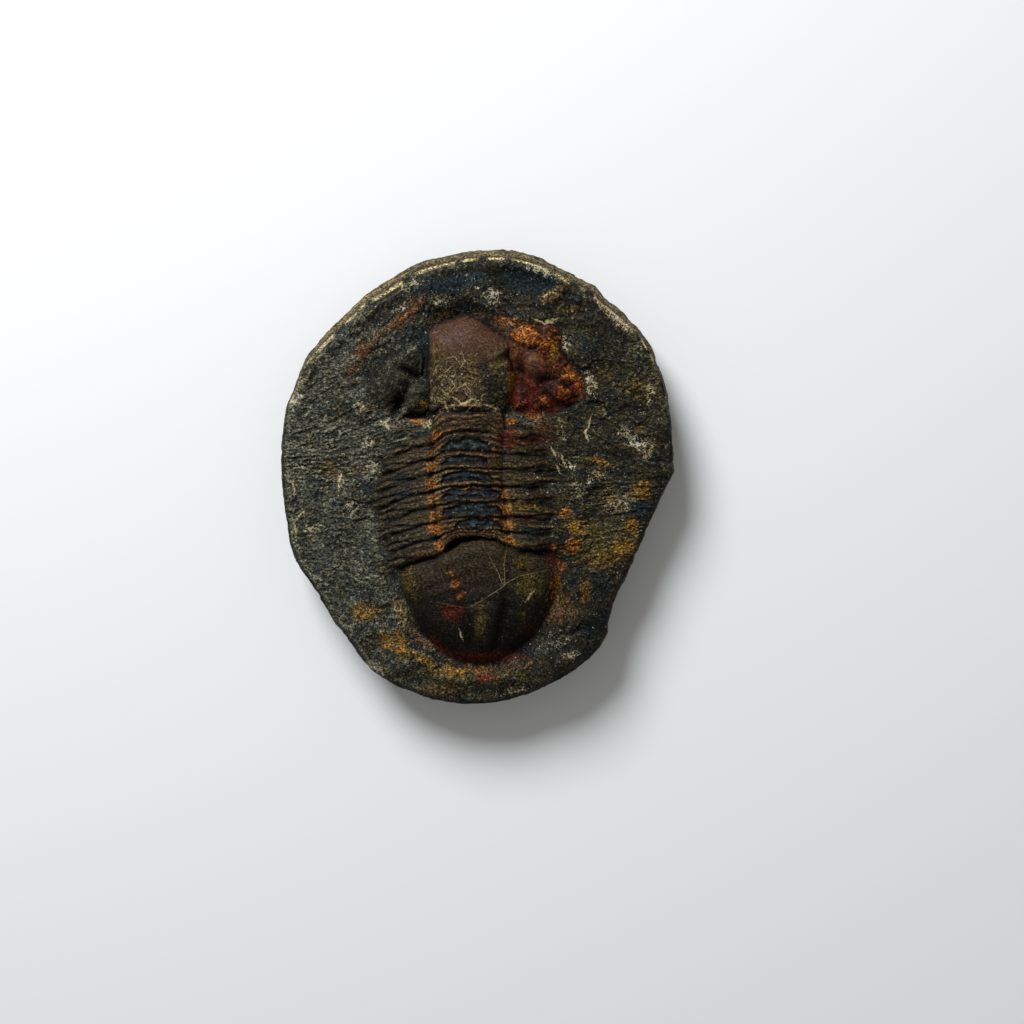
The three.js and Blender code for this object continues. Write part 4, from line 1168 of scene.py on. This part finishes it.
def rock_material():
    """The painted tint, with grain, strands, flecks and bright lines drawn over it."""
    material = bpy.data.materials.new("fossil_rock")
    n = Nodes(material)
    place = n.add("ShaderNodeTexCoord").outputs["Object"]
    stroke = {"Vector": place, "Rotation": (0, 0, STROKE_TURN), "Scale": (0.7, 1, 1)}
    strokes = n.add("ShaderNodeMapping", stroke).outputs[0]
    grain, strands = n.attribute("grain"), n.attribute("strands")
    grit = n.noise(strokes, 1.4, 5.0, 0.7)
    dots = n.noise(place, 2.3, 2.0)
    tint = grained(n, n.attribute("tint", "Color"), strokes, grain, grit)

    along_segment = n.times(n.attribute("segment"), 2 * math.pi * STRANDS_IN_A_SEGMENT)
    strand = n.maths("SINE", n.plus(along_segment, n.times(n.noise(place, 0.3, 3.0), 12.0)))
    dark_strand = n.times(n.ranged(strand, 0.1, 0.95), n.ranged(grit, 0.3, 0.6, 0.25, 0.85))
    pale_strand = n.times(n.ranged(strand, -0.35, -0.95), n.ranged(grit, 0.45, 0.7, 0.0, 0.3))
    tint = n.over(tint, n.times(dark_strand, strands), "black")
    tint = n.over(tint, n.times(pale_strand, strands), "gold")
    tint = flecked(n, tint, place, grain, dots)

    side = n.plus(n.attribute("line_side"), n.times(n.minus(grit, 0.5), 3.0))
    line = n.times(n.ranged(n.maths("ABSOLUTE", side), 0.6, 0.15), n.attribute("line_near"))
    tint = n.over(tint, n.times(line, n.ranged(dots, 0.35, 0.55, 0.2, 0.85)), "cream")

    height = n.times(n.plus(n.times(grit, 0.8), n.times(dots, 0.3)), n.ranged(grain, 0, 1, 0.4, 1.0))
    height = n.minus(height, n.times(dark_strand, n.times(strands, 0.4)))
    bump = n.add("ShaderNodeBump", {"Height": height, "Strength": 0.9, "Distance": BUMP_DISTANCE * MM})
    n.surface({
        "Base Color": tint,
        "Roughness": n.ranged(grain, 0, 1, 0.5, 0.62),
        "Normal": bump.outputs["Normal"],
        "Specular IOR Level": 0.12,
    })
    return material


# Floor, light and camera

FLOOR_HALF = 1500
FLOOR_TINT = (0.83, 0.855, 0.88, 1)
KEY_PLACE = (-330, 640, 560)
KEY_SIZE = 420
KEY_WATTS = 10.5
WORLD_TINT = (1, 0.975, 0.93, 1)
WORLD_STRENGTH = 0.27


def make_floor():
    half = FLOOR_HALF * MM
    mesh = bpy.data.meshes.new("floor")
    corners = [(-half, -half, 0), (half, -half, 0), (half, half, 0), (-half, half, 0)]
    mesh.from_pydata(corners, [], [(0, 1, 2, 3)])
    material = bpy.data.materials.new("pale_floor")
    Nodes(material).surface({"Base Color": FLOOR_TINT, "Roughness": 0.9})
    mesh.materials.append(material)
    add_object("floor", mesh)


def make_light():
    """One large lamp beyond the head end, aimed at the stone."""
    data = bpy.data.lights.new("key", "AREA")
    data.shape = "DISK"
    data.size = KEY_SIZE * MM
    data.energy = KEY_WATTS
    light = add_object("key", data)
    light.location = Vector(KEY_PLACE) * MM
    light.rotation_euler = (-Vector(KEY_PLACE)).to_track_quat("-Z", "Y").to_euler()


def make_world():
    world = bpy.data.worlds.new("studio")
    world.use_nodes = True
    background = world.node_tree.nodes["Background"]
    background.inputs["Color"].default_value = WORLD_TINT
    background.inputs["Strength"].default_value = WORLD_STRENGTH
    bpy.context.scene.world = world


def make_camera():
    """Above the stone, leaning a little to its head end, aimed at the photograph's centre."""
    back = Vector((0, math.sin(CAMERA_LEAN), math.cos(CAMERA_LEAN)))
    data = bpy.data.cameras.new("camera")
    data.sensor_width = FILM_WIDTH
    data.lens = FILM_WIDTH * CAMERA_DISTANCE * PIXELS_PER_MM / IMAGE_SIDE_PX
    camera = add_object("camera", data)
    camera.location = (Vector(AIM) + back * CAMERA_DISTANCE) * MM
    camera.rotation_euler = (-CAMERA_LEAN, 0, 0)
    bpy.context.scene.camera = camera


make_camera()
bpy.context.scene.view_settings.view_transform = "Standard"
make_world()
make_light()
make_floor()

stone = make_stone()
stone.data.materials.append(rock_material())
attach(stone, "root")
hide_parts(NODE)
